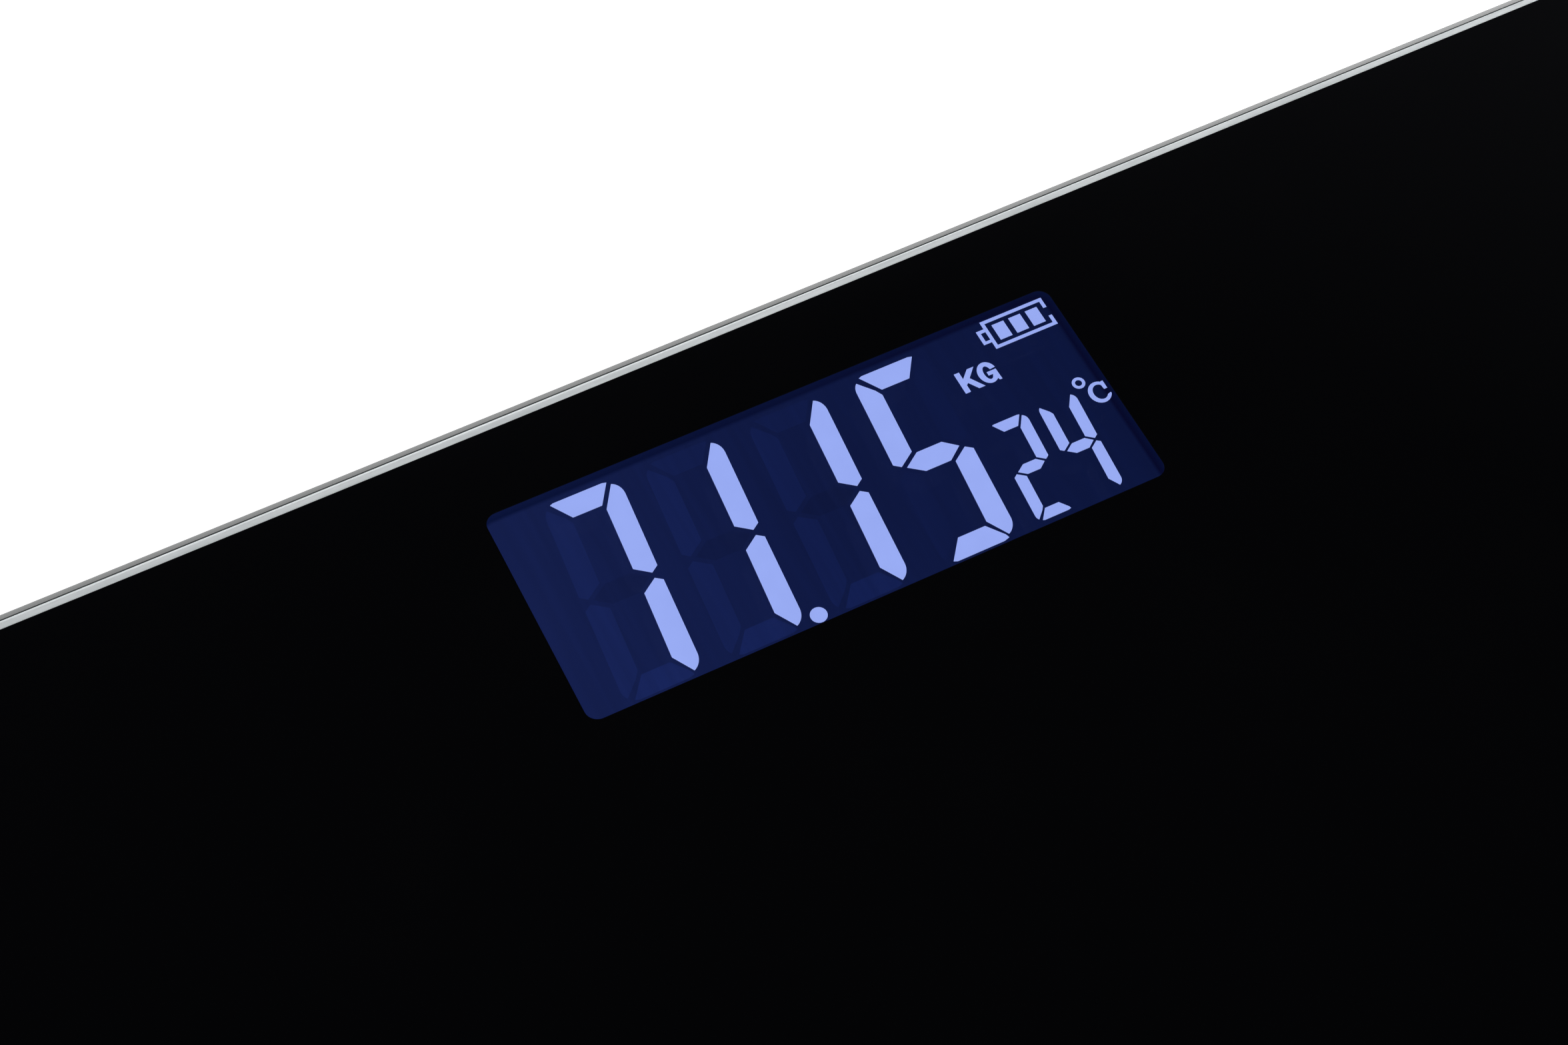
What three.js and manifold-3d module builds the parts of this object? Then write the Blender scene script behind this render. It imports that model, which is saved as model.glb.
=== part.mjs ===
// Digital bathroom scale: a tempered glass platform on four load-cell feet, with a backlit
// liquid-crystal display, two AAA cells and a unit button in a housing under its far edge.
// Millimetres, +Z up, +Y towards the display. The origin is on the floor under the platform's centre.

import * as THREE from "three";
import { mergeVertices } from "three/addons/utils/BufferGeometryUtils.js";
import Module from "manifold-3d";

const wasm = await Module();
wasm.setup();

// Gaps between pieces that are glued, pressed or laid on each other.
const FILM = 0.05;
const SEAT = 0.3;

// Platform: a square sheet of glass with ground edges, printed black on its underside.
const PLATFORM = 300;
const PLATFORM_CORNER = 28;
const GLASS_TOP = 22;
const GLASS_THICKNESS = 5;
const GLASS_BOTTOM = GLASS_TOP - GLASS_THICKNESS;
const TOP_ARRIS = 1.2;
const BOTTOM_ARRIS = 0.5;
const PRINT_THICKNESS = 0.1;
const PRINT_TOP = GLASS_BOTTOM - FILM;
const GLUE_FACE = PRINT_TOP - PRINT_THICKNESS - FILM;

// Display window, left clear in the print.
const WINDOW = { width: 75, height: 29.8, corner: 1.6 };
const DISPLAY_Y = PLATFORM / 2 - 26.5;

// Liquid-crystal cell and its backlight, from the top down.
const CELL = { width: 81, depth: 35.2, glass: 1.05, polariser: 0.15 };
const FRONT_POLARISER_TOP = GLASS_BOTTOM - 1.2;
const FRONT_GLASS_TOP = FRONT_POLARISER_TOP - CELL.polariser - FILM;
const REAR_GLASS_TOP = FRONT_GLASS_TOP - CELL.glass - FILM;
const REAR_POLARISER_TOP = REAR_GLASS_TOP - CELL.glass - FILM;
const FRAME_LEDGE = REAR_POLARISER_TOP - CELL.polariser - FILM;
const CONTACT_LEDGE = 2.7;
const ZEBRA = { halfWidth: 36, depth: 1.8 };
const POLARISER_MARGIN = 1.7;
const FRAME = { margin: 1.1, farMargin: 0.6, halfOpening: 38.4, play: 0.2 };
const GUIDE = { width: 72, depth: 30, thickness: 2.15, offset: 0.5 };
const REFLECTOR_THICKNESS = 0.15;
const LED = { gap: 0.2, reach: 1.8, halfWidth: 4, height: 2 };
const LED_LENS = { width: 6, depth: 0.2, low: 0.6, high: 1.6 };

// Circuit board under the backlight.
const BOARD = { width: 83, depth: 36.2, thickness: 1, top: 10.3, tab: 12.5, tabDepth: 7.4 };
const BOARD_BOTTOM = BOARD.top - BOARD.thickness;
const BACKLIGHT_BOTTOM = BOARD.top + 0.1;
const CHIP = { x: -4, y: DISPLAY_Y + 2, radius: 6, height: 1.6 };
const CAPACITOR = { x: 16, y: DISPLAY_Y + 6, radius: 2, height: 3.4, ease: 0.3 };
const SENSOR = { x: -31, y: 104, bead: 1.2, reach: 3, rise: 1.6, legSpread: 0.6, legRadius: 0.25 };

// Housing glued under the glass, with the cover screwed to it from below.
const HOUSING = { width: 98, near: 77.4, far: 146, corner: 5, wall: 1.6, flange: 2, flangeThickness: 1 };
const HOUSING_DEPTH = HOUSING.far - HOUSING.near;
const HOUSING_Y = (HOUSING.far + HOUSING.near) / 2;
const COVER_BOTTOM = 4;
const COVER_THICKNESS = 1.5;
const COVER_TOP = COVER_BOTTOM + COVER_THICKNESS;
const HOUSING_BOTTOM = COVER_TOP + 0.1;
const BOSS = { radius: 3, x: 45, fromEnd: 4, top: 15 };
const PILOT_TOP = 14;
const LEAD_NOTCH = { width: 5, below: 1.6 };
const SCREW = { headRadius: 2.3, headHeight: 1.1, shankRadius: 1.1, length: 8, slot: 0.7, slotReach: 1.5,
  slotDepth: 0.5, ease: 0.4 };
const COVER_LIP = { thickness: 0.9, height: 1.4 };
const PILLAR = { x: 38.5, y: 14, radius: 1.8 };
const VENT = { x: -34, y: 118, count: 5, pitch: 2.6, width: 1.2, length: 9, corner: 0.55 };
const OVERLAP = 0.5;
const THROUGH = 1;

// Cells, their bay and its door.
const AAA = { radius: 5.25, length: 44.5, capRadius: 1.9, capHeight: 0.8, ease: 0.5 };
const CELL_AXIS_Z = 11.2;
const CELL_PITCH = 10.9;
const BAY = { width: 50.4, depth: 22.2, wall: 1.1, top: 16.2 };
const BAY_Y = 91.5;
const DOOR_OPENING = { width: 50.4, depth: 21.2 };
const DOOR_GAP = 0.5;
const DOOR_SIDE_GAP = 0.3;
const LATCH = { thickness: 1.4, halfWidth: 4, height: 1.4, slotLength: 8, slotWidth: 0.8, slotOffset: 5 };
const LATCH_BEAD = { reach: 0.2, halfWidth: 3.5, low: 0.5, high: 1.2 };
const GRIP = { count: 3, fromEdge: 4, pitch: 1.6, width: 0.7, length: 7, depth: 0.35 };
const DOOR_RIB = { length: 30, width: 0.8, height: 0.3 };
const FINGER_SCOOP = { offset: 3.4, radius: 5, depth: 0.7 };
const WIRE_SLOT = { width: 4.4, bottom: 7 };
const CONTACT = { low: 8.4, high: 15.2, halfWidth: 4, back: 0.2, front: 0.6, button: 1.5 };
const SOLDER_TAB = { thickness: 0.4, reach: 2.2 };
const SPRING = { turns: 2.5, base: 3.1, taper: 1.3, length: 1.7, start: 0.7, wire: 0.3, steps: 24 };
const BATTERY_LEAD = { radius: 0.6, bend: 2, steps: 16, start: 1.6, tabZ: 9.5, turnY: 97.5, padY: 102,
  padZ: 11.2 };
const TONGUE = { reach: 1.9, width: 4, bottom: 5.7, top: 6.5, offset: 6.5, riser: 1, play: 1.2,
  slotTop: 8.4 };

// Unit button under the board, at the right of the cover.
const BUTTON = { x: 34, y: 118, radius: 4, flange: 5.2, bottom: 4.2, flangeBottom: 5.75, top: 6.3 };
const BUTTON_DIMPLE = { radius: 3, flat: 2, depth: 0.5 };
const SWITCH = { side: 6, bottom: 7.2, bore: 1.6, boreTop: 8.8, plunger: 1.3, engagement: 0.8 };

// Feet: one load cell in a round housing near each corner.
const FOOT_REACH = 112;
const FOOT = { radius: 29, wall: 2, bottom: 3.8, top: GLUE_FACE, lip: 1.5, lipRadius: 21.6, ease: 0.8 };
const FOOT_CAP = { radius: 21, flange: 24, bottom: 1, recess: 1.3, padRadius: 18.4, ease: 0.8 };
const FOOT_TRAVEL_GAP = 0.6;
const FOOT_BOSS = { radius: 6, base: 7, flangeThickness: 1.4 };
const PAD_GROOVE = { radius: 9, halfMouth: 0.6, halfFloor: 0.4, depth: 0.6 };
const LOAD_CELL = { side: 34, thickness: 1.2, bottom: 9, rim: 5, slot: 1.5, corner: 2, hole: 1.3,
  holeReach: 14.2 };
const LOAD_CELL_TOP = LOAD_CELL.bottom + LOAD_CELL.thickness;
const COLLAR_WALL = 4;
const GUARD = { halfWidth: 6, reach: 18.9, halfThickness: 0.7, below: 0.6 };
const GAUGE_SEAL = { y: -9, width: 15, depth: 6, corner: 2, height: 1.1, ease: 0.5 };
const CABLE_OFFSET = -6.5;
const OUTLET = { start: 9, wallStart: 15, collarReach: 22, end: 32, halfWidth: 2.4, slack: 1 };

// Leads between the load cells and the board, held in ducts glued to the print.
const LEAD_RADIUS = 1;
const LEAD_Z = 15.4;
const DUCT = { halfWidth: 4, halfChannel: 2.2, bottom: 13.6, floor: 14.3 };
const DUCT_X = 66;
const FRONT_LEAD_Y = 89;
const BACK_LEAD_Y = 96.5;
const DUCT_BEND = 8;
const LEAD_BEND = 5;

const FOOT_SIDES = 24;
const ROUND_SIDES = 16;
const SMALL_SIDES = 8;
const LEAD_SIDES = 6;
const CORNER_STEPS = 3;
const PLATFORM_CORNER_STEPS = 6;

// ---------- solids ----------

function signedVolume(vertices, triangles) {
  const corner = (index) => new THREE.Vector3().fromArray(vertices, 3 * index);
  let volume = 0;
  for (let t = 0; t < triangles.length; t += 3) {
    const [a, b, c] = [corner(triangles[t]), corner(triangles[t + 1]), corner(triangles[t + 2])];
    volume += a.dot(b.cross(c)) / 6;
  }
  return volume;
}

// A closed three.js geometry as a solid, with its faces pointing out.
function solid(geometry) {
  const bare = geometry.clone();
  bare.deleteAttribute("normal");
  bare.deleteAttribute("uv");
  const merged = mergeVertices(bare, 1e-4);
  const index = Array.from(merged.index.array);
  const triangles = [];
  for (let t = 0; t < index.length; t += 3) {
    const [a, b, c] = index.slice(t, t + 3);
    if (a !== b && b !== c && c !== a) triangles.push(a, b, c);
  }
  const vertices = new Float32Array(merged.attributes.position.array);
  if (signedVolume(vertices, triangles) < 0) triangles.reverse();
  const mesh = new wasm.Mesh({ numProp: 3, vertProperties: vertices, triVerts: new Uint32Array(triangles) });
  return new wasm.Manifold(mesh);
}

function geometryOf(shape) {
  const { vertProperties, triVerts } = shape.getMesh();
  const geometry = new THREE.BufferGeometry();
  geometry.setAttribute("position", new THREE.BufferAttribute(new Float32Array(vertProperties), 3));
  geometry.setIndex(new THREE.BufferAttribute(new Uint32Array(triVerts), 1));
  geometry.computeVertexNormals();
  return geometry;
}

function block([x0, x1], [y0, y1], [z0, z1]) {
  const geometry = new THREE.BoxGeometry(x1 - x0, y1 - y0, z1 - z0);
  return solid(geometry.translate((x0 + x1) / 2, (y0 + y1) / 2, (z0 + z1) / 2));
}

// A block given by its centre, its sizes and its two levels.
function centredBlock(x, y, width, depth, z0, z1) {
  return block([x - width / 2, x + width / 2], [y - depth / 2, y + depth / 2], [z0, z1]);
}

function post(x, y, radius, z0, z1, sides = SMALL_SIDES) {
  const geometry = new THREE.CylinderGeometry(radius, radius, z1 - z0, sides);
  return solid(geometry.rotateX(Math.PI / 2).translate(x, y, (z0 + z1) / 2));
}

// A turned piece about Z: profile points are [radius, height].
function turned(profile, sides = ROUND_SIDES) {
  const points = profile.map(([radius, height]) => new THREE.Vector2(radius, height));
  return solid(new THREE.LatheGeometry(points, sides).rotateX(Math.PI / 2));
}

function roundedRectangle(x, y, width, height, radius) {
  const shape = new THREE.Shape();
  const [left, right, near, far] = [x - width / 2, x + width / 2, y - height / 2, y + height / 2];
  shape.absarc(right - radius, near + radius, radius, -Math.PI / 2, 0);
  shape.absarc(right - radius, far - radius, radius, 0, Math.PI / 2);
  shape.absarc(left + radius, far - radius, radius, Math.PI / 2, Math.PI);
  shape.absarc(left + radius, near + radius, radius, Math.PI, 1.5 * Math.PI);
  shape.closePath();
  return shape;
}

function slab(shape, z0, z1, curveSegments = CORNER_STEPS) {
  const geometry = new THREE.ExtrudeGeometry(shape, { depth: z1 - z0, bevelEnabled: false, curveSegments });
  return solid(geometry.translate(0, 0, z0));
}

function roundedSlab(x, y, width, height, radius, z0, z1, curveSegments = CORNER_STEPS) {
  return slab(roundedRectangle(x, y, width, height, radius), z0, z1, curveSegments);
}

// A slab whose upper and lower edges are each cut back at 45 degrees.
function chamferedSlab(shape, z0, z1, lower, upper, curveSegments = CORNER_STEPS) {
  const room = 3;
  const extrude = (chamfer, from, to) => {
    const bevel = { bevelThickness: chamfer, bevelSize: chamfer, bevelOffset: -chamfer, bevelSegments: 1 };
    const depth = to - from - 2 * chamfer;
    const geometry = new THREE.ExtrudeGeometry(shape, { depth, curveSegments, ...bevel });
    return solid(geometry.translate(0, 0, from + chamfer));
  };
  return extrude(upper, z0 - room, z1).intersect(extrude(lower, z0, z1 + room));
}

function union(shapes) {
  return shapes.reduce((whole, shape) => whole.add(shape));
}

function cut(shape, tools) {
  return tools.reduce((whole, tool) => whole.subtract(tool), shape);
}

// ---------- routes ----------

// Straight runs joined by rounded bends.
function roundedRoute(points, bend) {
  const corners = points.map((point) => new THREE.Vector3(...point));
  const route = new THREE.CurvePath();
  let from = corners[0];
  for (let i = 1; i < corners.length - 1; i += 1) {
    const corner = corners[i];
    const towards = (other) => corner.clone().lerp(other, Math.min(bend / corner.distanceTo(other), 0.45));
    const [before, after] = [towards(corners[i - 1]), towards(corners[i + 1])];
    route.add(new THREE.LineCurve3(from, before));
    route.add(new THREE.QuadraticBezierCurve3(before, corner, after));
    from = after;
  }
  route.add(new THREE.LineCurve3(from, corners.at(-1)));
  return route;
}

function tube(route, radius, steps, sides = LEAD_SIDES) {
  const section = new THREE.Shape();
  for (let i = 0; i < sides; i += 1) {
    const angle = (2 * Math.PI * i) / sides;
    const [x, y] = [radius * Math.cos(angle), radius * Math.sin(angle)];
    if (i === 0) section.moveTo(x, y);
    else section.lineTo(x, y);
  }
  section.closePath();
  return solid(new THREE.ExtrudeGeometry(section, { steps, extrudePath: route }));
}

// The plan outline of a strip that follows a line of points, mitred at its bends.
function strip(points, halfWidth) {
  const line = points.map(([x, y]) => new THREE.Vector2(x, y));
  const side = (sign) =>
    line.map((point, i) => {
      const back = point.clone().sub(line[Math.max(i - 1, 0)]).normalize();
      const ahead = line[Math.min(i + 1, line.length - 1)].clone().sub(point).normalize();
      const along = back.clone().add(ahead).normalize();
      const mitre = along.dot(i === 0 ? ahead : back);
      const across = new THREE.Vector2(-along.y, along.x);
      return point.clone().addScaledVector(across, (sign * halfWidth) / mitre);
    });
  return new THREE.Shape([...side(-1), ...side(1).reverse()]);
}

// ---------- materials ----------

const finish = (color, roughness, metalness = 0) =>
  new THREE.MeshStandardMaterial({ color, roughness, metalness });
const clearGlass = finish(0xa9b4b0, 0.08);
const blackPrint = finish(0x050507, 0.2);
const darkPlastic = finish(0x33353a, 0.5);
const whitePlastic = finish(0xe8e8e4, 0.5);
const greyRubber = finish(0x5a5c60, 0.85);
const steel = finish(0xb8babd, 0.35, 1);
const spring = finish(0xc9cbce, 0.25, 1);
const boardGreen = finish(0x1f5a34, 0.45);
const chipBlack = finish(0x101012, 0.4);
const displayBlue = finish(0x141f4a, 0.2);
const clearPlastic = finish(0xd9dde2, 0.1);
const silicone = finish(0xe2e0d8, 0.6);
const foam = finish(0x1c1c1e, 0.9);
const cellLabel = finish(0x2c6e49, 0.35);
const leadGrey = finish(0x8a8d92, 0.5);
const redWire = finish(0xb3261e, 0.4);
const blackWire = finish(0x18181a, 0.4);

const scale = new THREE.Group();

function place(name, shape, material, x = 0, y = 0) {
  const mesh = new THREE.Mesh(geometryOf(shape), material);
  mesh.name = name;
  mesh.position.set(x, y, 0);
  scale.add(mesh);
}

// ---------- platform ----------

function glassPlatform() {
  const outline = roundedRectangle(0, 0, PLATFORM, PLATFORM, PLATFORM_CORNER);
  return chamferedSlab(outline, GLASS_BOTTOM, GLASS_TOP, BOTTOM_ARRIS, TOP_ARRIS, PLATFORM_CORNER_STEPS);
}

function backingPrint() {
  const side = PLATFORM - 2 * BOTTOM_ARRIS;
  const bottom = PRINT_TOP - PRINT_THICKNESS;
  const sheet = roundedSlab(0, 0, side, side, PLATFORM_CORNER - BOTTOM_ARRIS, bottom,
    PRINT_TOP, PLATFORM_CORNER_STEPS);
  const { width, height, corner } = WINDOW;
  return sheet.subtract(roundedSlab(0, DISPLAY_Y, width, height, corner, bottom - 1, PRINT_TOP + 1));
}

// ---------- display ----------

function displaySeal() {
  const [bottom, top] = [FRONT_GLASS_TOP + FILM, GLUE_FACE];
  const outer = centredBlock(0, DISPLAY_Y, CELL.width, CELL.depth, bottom, top);
  const rim = 2 * (POLARISER_MARGIN - SEAT);
  const inner = centredBlock(0, DISPLAY_Y, CELL.width - rim, CELL.depth - rim, bottom - THROUGH,
    top + THROUGH);
  return outer.subtract(inner);
}

function frontPolariser() {
  const [width, depth] = [CELL.width - 2 * POLARISER_MARGIN, CELL.depth - 2 * POLARISER_MARGIN];
  return centredBlock(0, DISPLAY_Y, width, depth, FRONT_POLARISER_TOP - CELL.polariser, FRONT_POLARISER_TOP);
}

function frontGlass() {
  return centredBlock(0, DISPLAY_Y, CELL.width, CELL.depth, FRONT_GLASS_TOP - CELL.glass, FRONT_GLASS_TOP);
}

// The rear glass stops short of the near edge, where the front glass carries the contacts.
function rearSheet(top, thickness) {
  const near = DISPLAY_Y - CELL.depth / 2 + CONTACT_LEDGE;
  const far = DISPLAY_Y + CELL.depth / 2;
  return block([-CELL.width / 2, CELL.width / 2], [near, far], [top - thickness, top]);
}

function zebraConnector() {
  const near = DISPLAY_Y - CELL.depth / 2 + SEAT;
  const top = FRONT_GLASS_TOP - CELL.glass - FILM;
  return block([-ZEBRA.halfWidth, ZEBRA.halfWidth], [near, near + ZEBRA.depth], [BACKLIGHT_BOTTOM, top]);
}

// A white frame: a ledge for the rear glass, a rim round both glasses and a well for the light guide.
function backlightFrame() {
  const { margin, farMargin, halfOpening, play } = FRAME;
  const rim = FRONT_GLASS_TOP - 2 * FILM;
  const [width, depth] = [CELL.width + 2 * margin, CELL.depth + 2 * farMargin];
  const body = roundedSlab(0, DISPLAY_Y, width, depth, 1, BACKLIGHT_BOTTOM, rim);
  const pocket = centredBlock(0, DISPLAY_Y, CELL.width + 2 * play, CELL.depth + 2 * play, FRAME_LEDGE,
    rim + THROUGH);
  const near = DISPLAY_Y - CELL.depth / 2 + play / 2;
  const far = DISPLAY_Y + GUIDE.depth / 2 + 2 * farMargin;
  const well = block([-halfOpening, halfOpening], [near, far],
    [BACKLIGHT_BOTTOM - THROUGH, FRAME_LEDGE + THROUGH]);
  return cut(body, [pocket, well]);
}

const REFLECTOR_BOTTOM = BACKLIGHT_BOTTOM + FILM;
const GUIDE_BOTTOM = REFLECTOR_BOTTOM + REFLECTOR_THICKNESS + 2 * FILM;

function guideSheet(bottom, thickness) {
  return centredBlock(0, DISPLAY_Y + GUIDE.offset, GUIDE.width, GUIDE.depth, bottom, bottom + thickness);
}

function backlightLed(side) {
  const [near, far] = [GUIDE.width / 2 + LED.gap, GUIDE.width / 2 + LED.reach];
  const across = [near, far].map((x) => side * x).sort((a, b) => a - b);
  const body = block(across, [DISPLAY_Y - LED.halfWidth, DISPLAY_Y + LED.halfWidth],
    [REFLECTOR_BOTTOM, BACKLIGHT_BOTTOM + LED.height]);
  const lens = centredBlock(side * near, DISPLAY_Y, 2 * LED_LENS.depth, LED_LENS.width,
    BACKLIGHT_BOTTOM + LED_LENS.low, BACKLIGHT_BOTTOM + LED_LENS.high);
  return body.subtract(lens);
}

// ---------- circuit board ----------

// The board, with a tab at each near corner where the leads are soldered.
function mainBoard() {
  const board = roundedSlab(0, DISPLAY_Y, BOARD.width, BOARD.depth, 1, BOARD_BOTTOM, BOARD.top);
  const near = DISPLAY_Y - BOARD.depth / 2;
  const tabs = [-1, 1].map((side) => centredBlock(side * (BOARD.width - BOARD.tab) / 2,
    near + OVERLAP - BOARD.tabDepth / 2, BOARD.tab, BOARD.tabDepth + 2 * OVERLAP, BOARD_BOTTOM, BOARD.top));
  return union([board, ...tabs]);
}

// The drop of black epoxy over the controller's die.
function controllerChip() {
  const { radius, height } = CHIP;
  const top = BOARD_BOTTOM - FILM;
  const dome = [[0, 1], [0.53, 0.88], [0.9, 0.44], [1, 0]]
    .map(([out, down]) => [out * radius, top - down * height]);
  return turned([...dome, [0, top]]);
}

function supplyCapacitor() {
  const { radius, height, ease } = CAPACITOR;
  const top = BOARD_BOTTOM - FILM;
  const bottom = top - height;
  const profile = [[0, bottom], [radius - ease, bottom], [radius, bottom + ease], [radius, top], [0, top]];
  return turned(profile, SMALL_SIDES);
}

// A bead thermistor on two bent legs.
function temperatureSensor() {
  const { bead, reach, rise, legSpread, legRadius } = SENSOR;
  const level = BOARD.top + rise;
  const head = solid(new THREE.SphereGeometry(bead, 10, 6).translate(0, -reach, level));
  const leg = (x) => {
    const route = roundedRoute([[x, 0, BOARD.top + FILM], [x, 0, level], [x, -reach, level]], 1);
    return tube(route, legRadius, 6);
  };
  return union([head, leg(-legSpread), leg(legSpread)]);
}

function tactSwitch() {
  const body = centredBlock(BUTTON.x, BUTTON.y, SWITCH.side, SWITCH.side, SWITCH.bottom, BOARD_BOTTOM - FILM);
  return body.subtract(post(BUTTON.x, BUTTON.y, SWITCH.bore, SWITCH.bottom - THROUGH, SWITCH.boreTop));
}

function switchPlunger() {
  return post(BUTTON.x, BUTTON.y, SWITCH.plunger, BUTTON.top + FILM, SWITCH.bottom + SWITCH.engagement);
}

function unitButton() {
  const { x, y, radius, flange, bottom, flangeBottom, top } = BUTTON;
  const stem = post(x, y, radius, bottom, top, ROUND_SIDES);
  const rim = post(x, y, flange, flangeBottom, top, ROUND_SIDES);
  const below = bottom - FILM;
  const { depth, flat } = BUTTON_DIMPLE;
  const hollow = [[0, bottom + depth], [flat, bottom + 0.6 * depth], [BUTTON_DIMPLE.radius, below],
    [0, below]];
  const dimple = turned(hollow).translate([x, y, 0]);
  return stem.add(rim).subtract(dimple);
}

// ---------- housing ----------

const bossPlaces = [-1, 1].flatMap((side) => [HOUSING.near + BOSS.fromEnd, HOUSING.far - BOSS.fromEnd]
  .map((y) => [side * BOSS.x, y]));

// Four walls glued under the glass, open to it so that the display looks out.
function displayHousing() {
  const { width, corner, wall, flange, flangeThickness } = HOUSING;
  const shell = roundedSlab(0, HOUSING_Y, width, HOUSING_DEPTH, corner, HOUSING_BOTTOM, GLUE_FACE);
  const rim = roundedSlab(0, HOUSING_Y, width + 2 * flange, HOUSING_DEPTH + 2 * flange, corner + flange,
    GLUE_FACE - flangeThickness, GLUE_FACE);
  const hollow = roundedSlab(0, HOUSING_Y, width - 2 * wall, HOUSING_DEPTH - 2 * wall, corner - wall,
    HOUSING_BOTTOM - THROUGH, GLUE_FACE + THROUGH);
  const bosses = bossPlaces.map(([x, y]) => post(x, y, BOSS.radius, HOUSING_BOTTOM, BOSS.top));
  const pilots = bossPlaces.map(([x, y]) =>
    post(x, y, SCREW.shankRadius + SEAT, HOUSING_BOTTOM - THROUGH, PILOT_TOP));
  const notchLevels = [LEAD_Z - LEAD_NOTCH.below, GLUE_FACE + THROUGH];
  const leadNotches = [-1, 1].flatMap((side) => [FRONT_LEAD_Y, BACK_LEAD_Y].map((y) =>
    centredBlock(side * width / 2, y, 4 * flange, LEAD_NOTCH.width, ...notchLevels)));
  const walls = shell.add(rim).subtract(hollow);
  return cut(walls.add(union(bosses)), [...pilots, ...leadNotches]);
}

// A flat ring that locates the cover inside the housing's walls, broken round the screw bosses.
function coverLip() {
  const inset = 2 * (HOUSING.wall + SEAT);
  const ring = (cutBack, z0, z1) => roundedSlab(0, HOUSING_Y, HOUSING.width - cutBack,
    HOUSING_DEPTH - cutBack, HOUSING.corner - cutBack / 2 + 1, z0, z1);
  const lip = ring(inset, COVER_TOP - OVERLAP, COVER_TOP + COVER_LIP.height)
    .subtract(ring(inset + 2 * COVER_LIP.thickness, COVER_TOP - THROUGH, COVER_TOP + 2 * COVER_LIP.height));
  const notches = bossPlaces.map(([x, y]) =>
    post(x, y, BOSS.radius + SEAT, COVER_TOP, COVER_TOP + 2 * COVER_LIP.height));
  return cut(lip, notches);
}

// The walls round the cells, with slots for the door's tongues and for the contacts' wires.
function batteryBay() {
  const bay = centredBlock(0, BAY_Y, BAY.width + 2 * BAY.wall, BAY.depth + 2 * BAY.wall,
    COVER_TOP - OVERLAP, BAY.top);
  const room = centredBlock(0, BAY_Y, BAY.width, BAY.depth, COVER_TOP, BAY.top + THROUGH);
  const wallX = (BAY.width + BAY.wall) / 2;
  const tongueSlots = [-1, 1].map((side) => centredBlock(-wallX, BAY_Y + side * TONGUE.offset,
    BAY.wall + THROUGH, TONGUE.width + TONGUE.play, COVER_TOP, TONGUE.slotTop));
  const wireSlots = [-1, 1].map((side) => centredBlock(wallX, BAY_Y + side * CELL_PITCH / 2,
    BAY.wall + THROUGH, WIRE_SLOT.width, WIRE_SLOT.bottom, BAY.top + THROUGH));
  return cut(bay, [room, ...tongueSlots, ...wireSlots]);
}

function housingCover() {
  const outline = roundedRectangle(0, HOUSING_Y, HOUSING.width, HOUSING_DEPTH, HOUSING.corner);
  const plate = chamferedSlab(outline, COVER_BOTTOM, COVER_TOP, 0.8, 0.1);
  const [below, above] = [COVER_BOTTOM - THROUGH, COVER_TOP + THROUGH];
  const opening = centredBlock(0, BAY_Y, DOOR_OPENING.width, DOOR_OPENING.depth, below, above);
  const pillarLevels = [COVER_TOP - OVERLAP, BOARD_BOTTOM - 2 * FILM];
  const pillars = [-1, 1].flatMap((side) => [-1, 1].map((end) =>
    post(side * PILLAR.x, DISPLAY_Y + end * PILLAR.y, PILLAR.radius, ...pillarLevels)));
  const heads = bossPlaces.map(([x, y]) =>
    post(x, y, SCREW.headRadius + SEAT, below, COVER_BOTTOM + SCREW.headHeight - SEAT));
  const holes = bossPlaces.map(([x, y]) => post(x, y, SCREW.shankRadius + SEAT, below, above));
  const buttonHole = post(BUTTON.x, BUTTON.y, BUTTON.radius + SEAT, below, above, ROUND_SIDES);
  const fingerScoop = post(BAY.width / 2 + FINGER_SCOOP.offset, BAY_Y, FINGER_SCOOP.radius, below,
    COVER_BOTTOM + FINGER_SCOOP.depth, ROUND_SIDES);
  const vents = Array.from({ length: VENT.count }, (_, i) =>
    roundedSlab(VENT.x + VENT.pitch * (i - 2), VENT.y, VENT.width, VENT.length, VENT.corner, below, above));
  const cover = union([plate, coverLip(), batteryBay(), ...pillars]);
  return cut(cover, [opening, buttonHole, fingerScoop, ...heads, ...holes, ...vents]);
}

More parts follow.
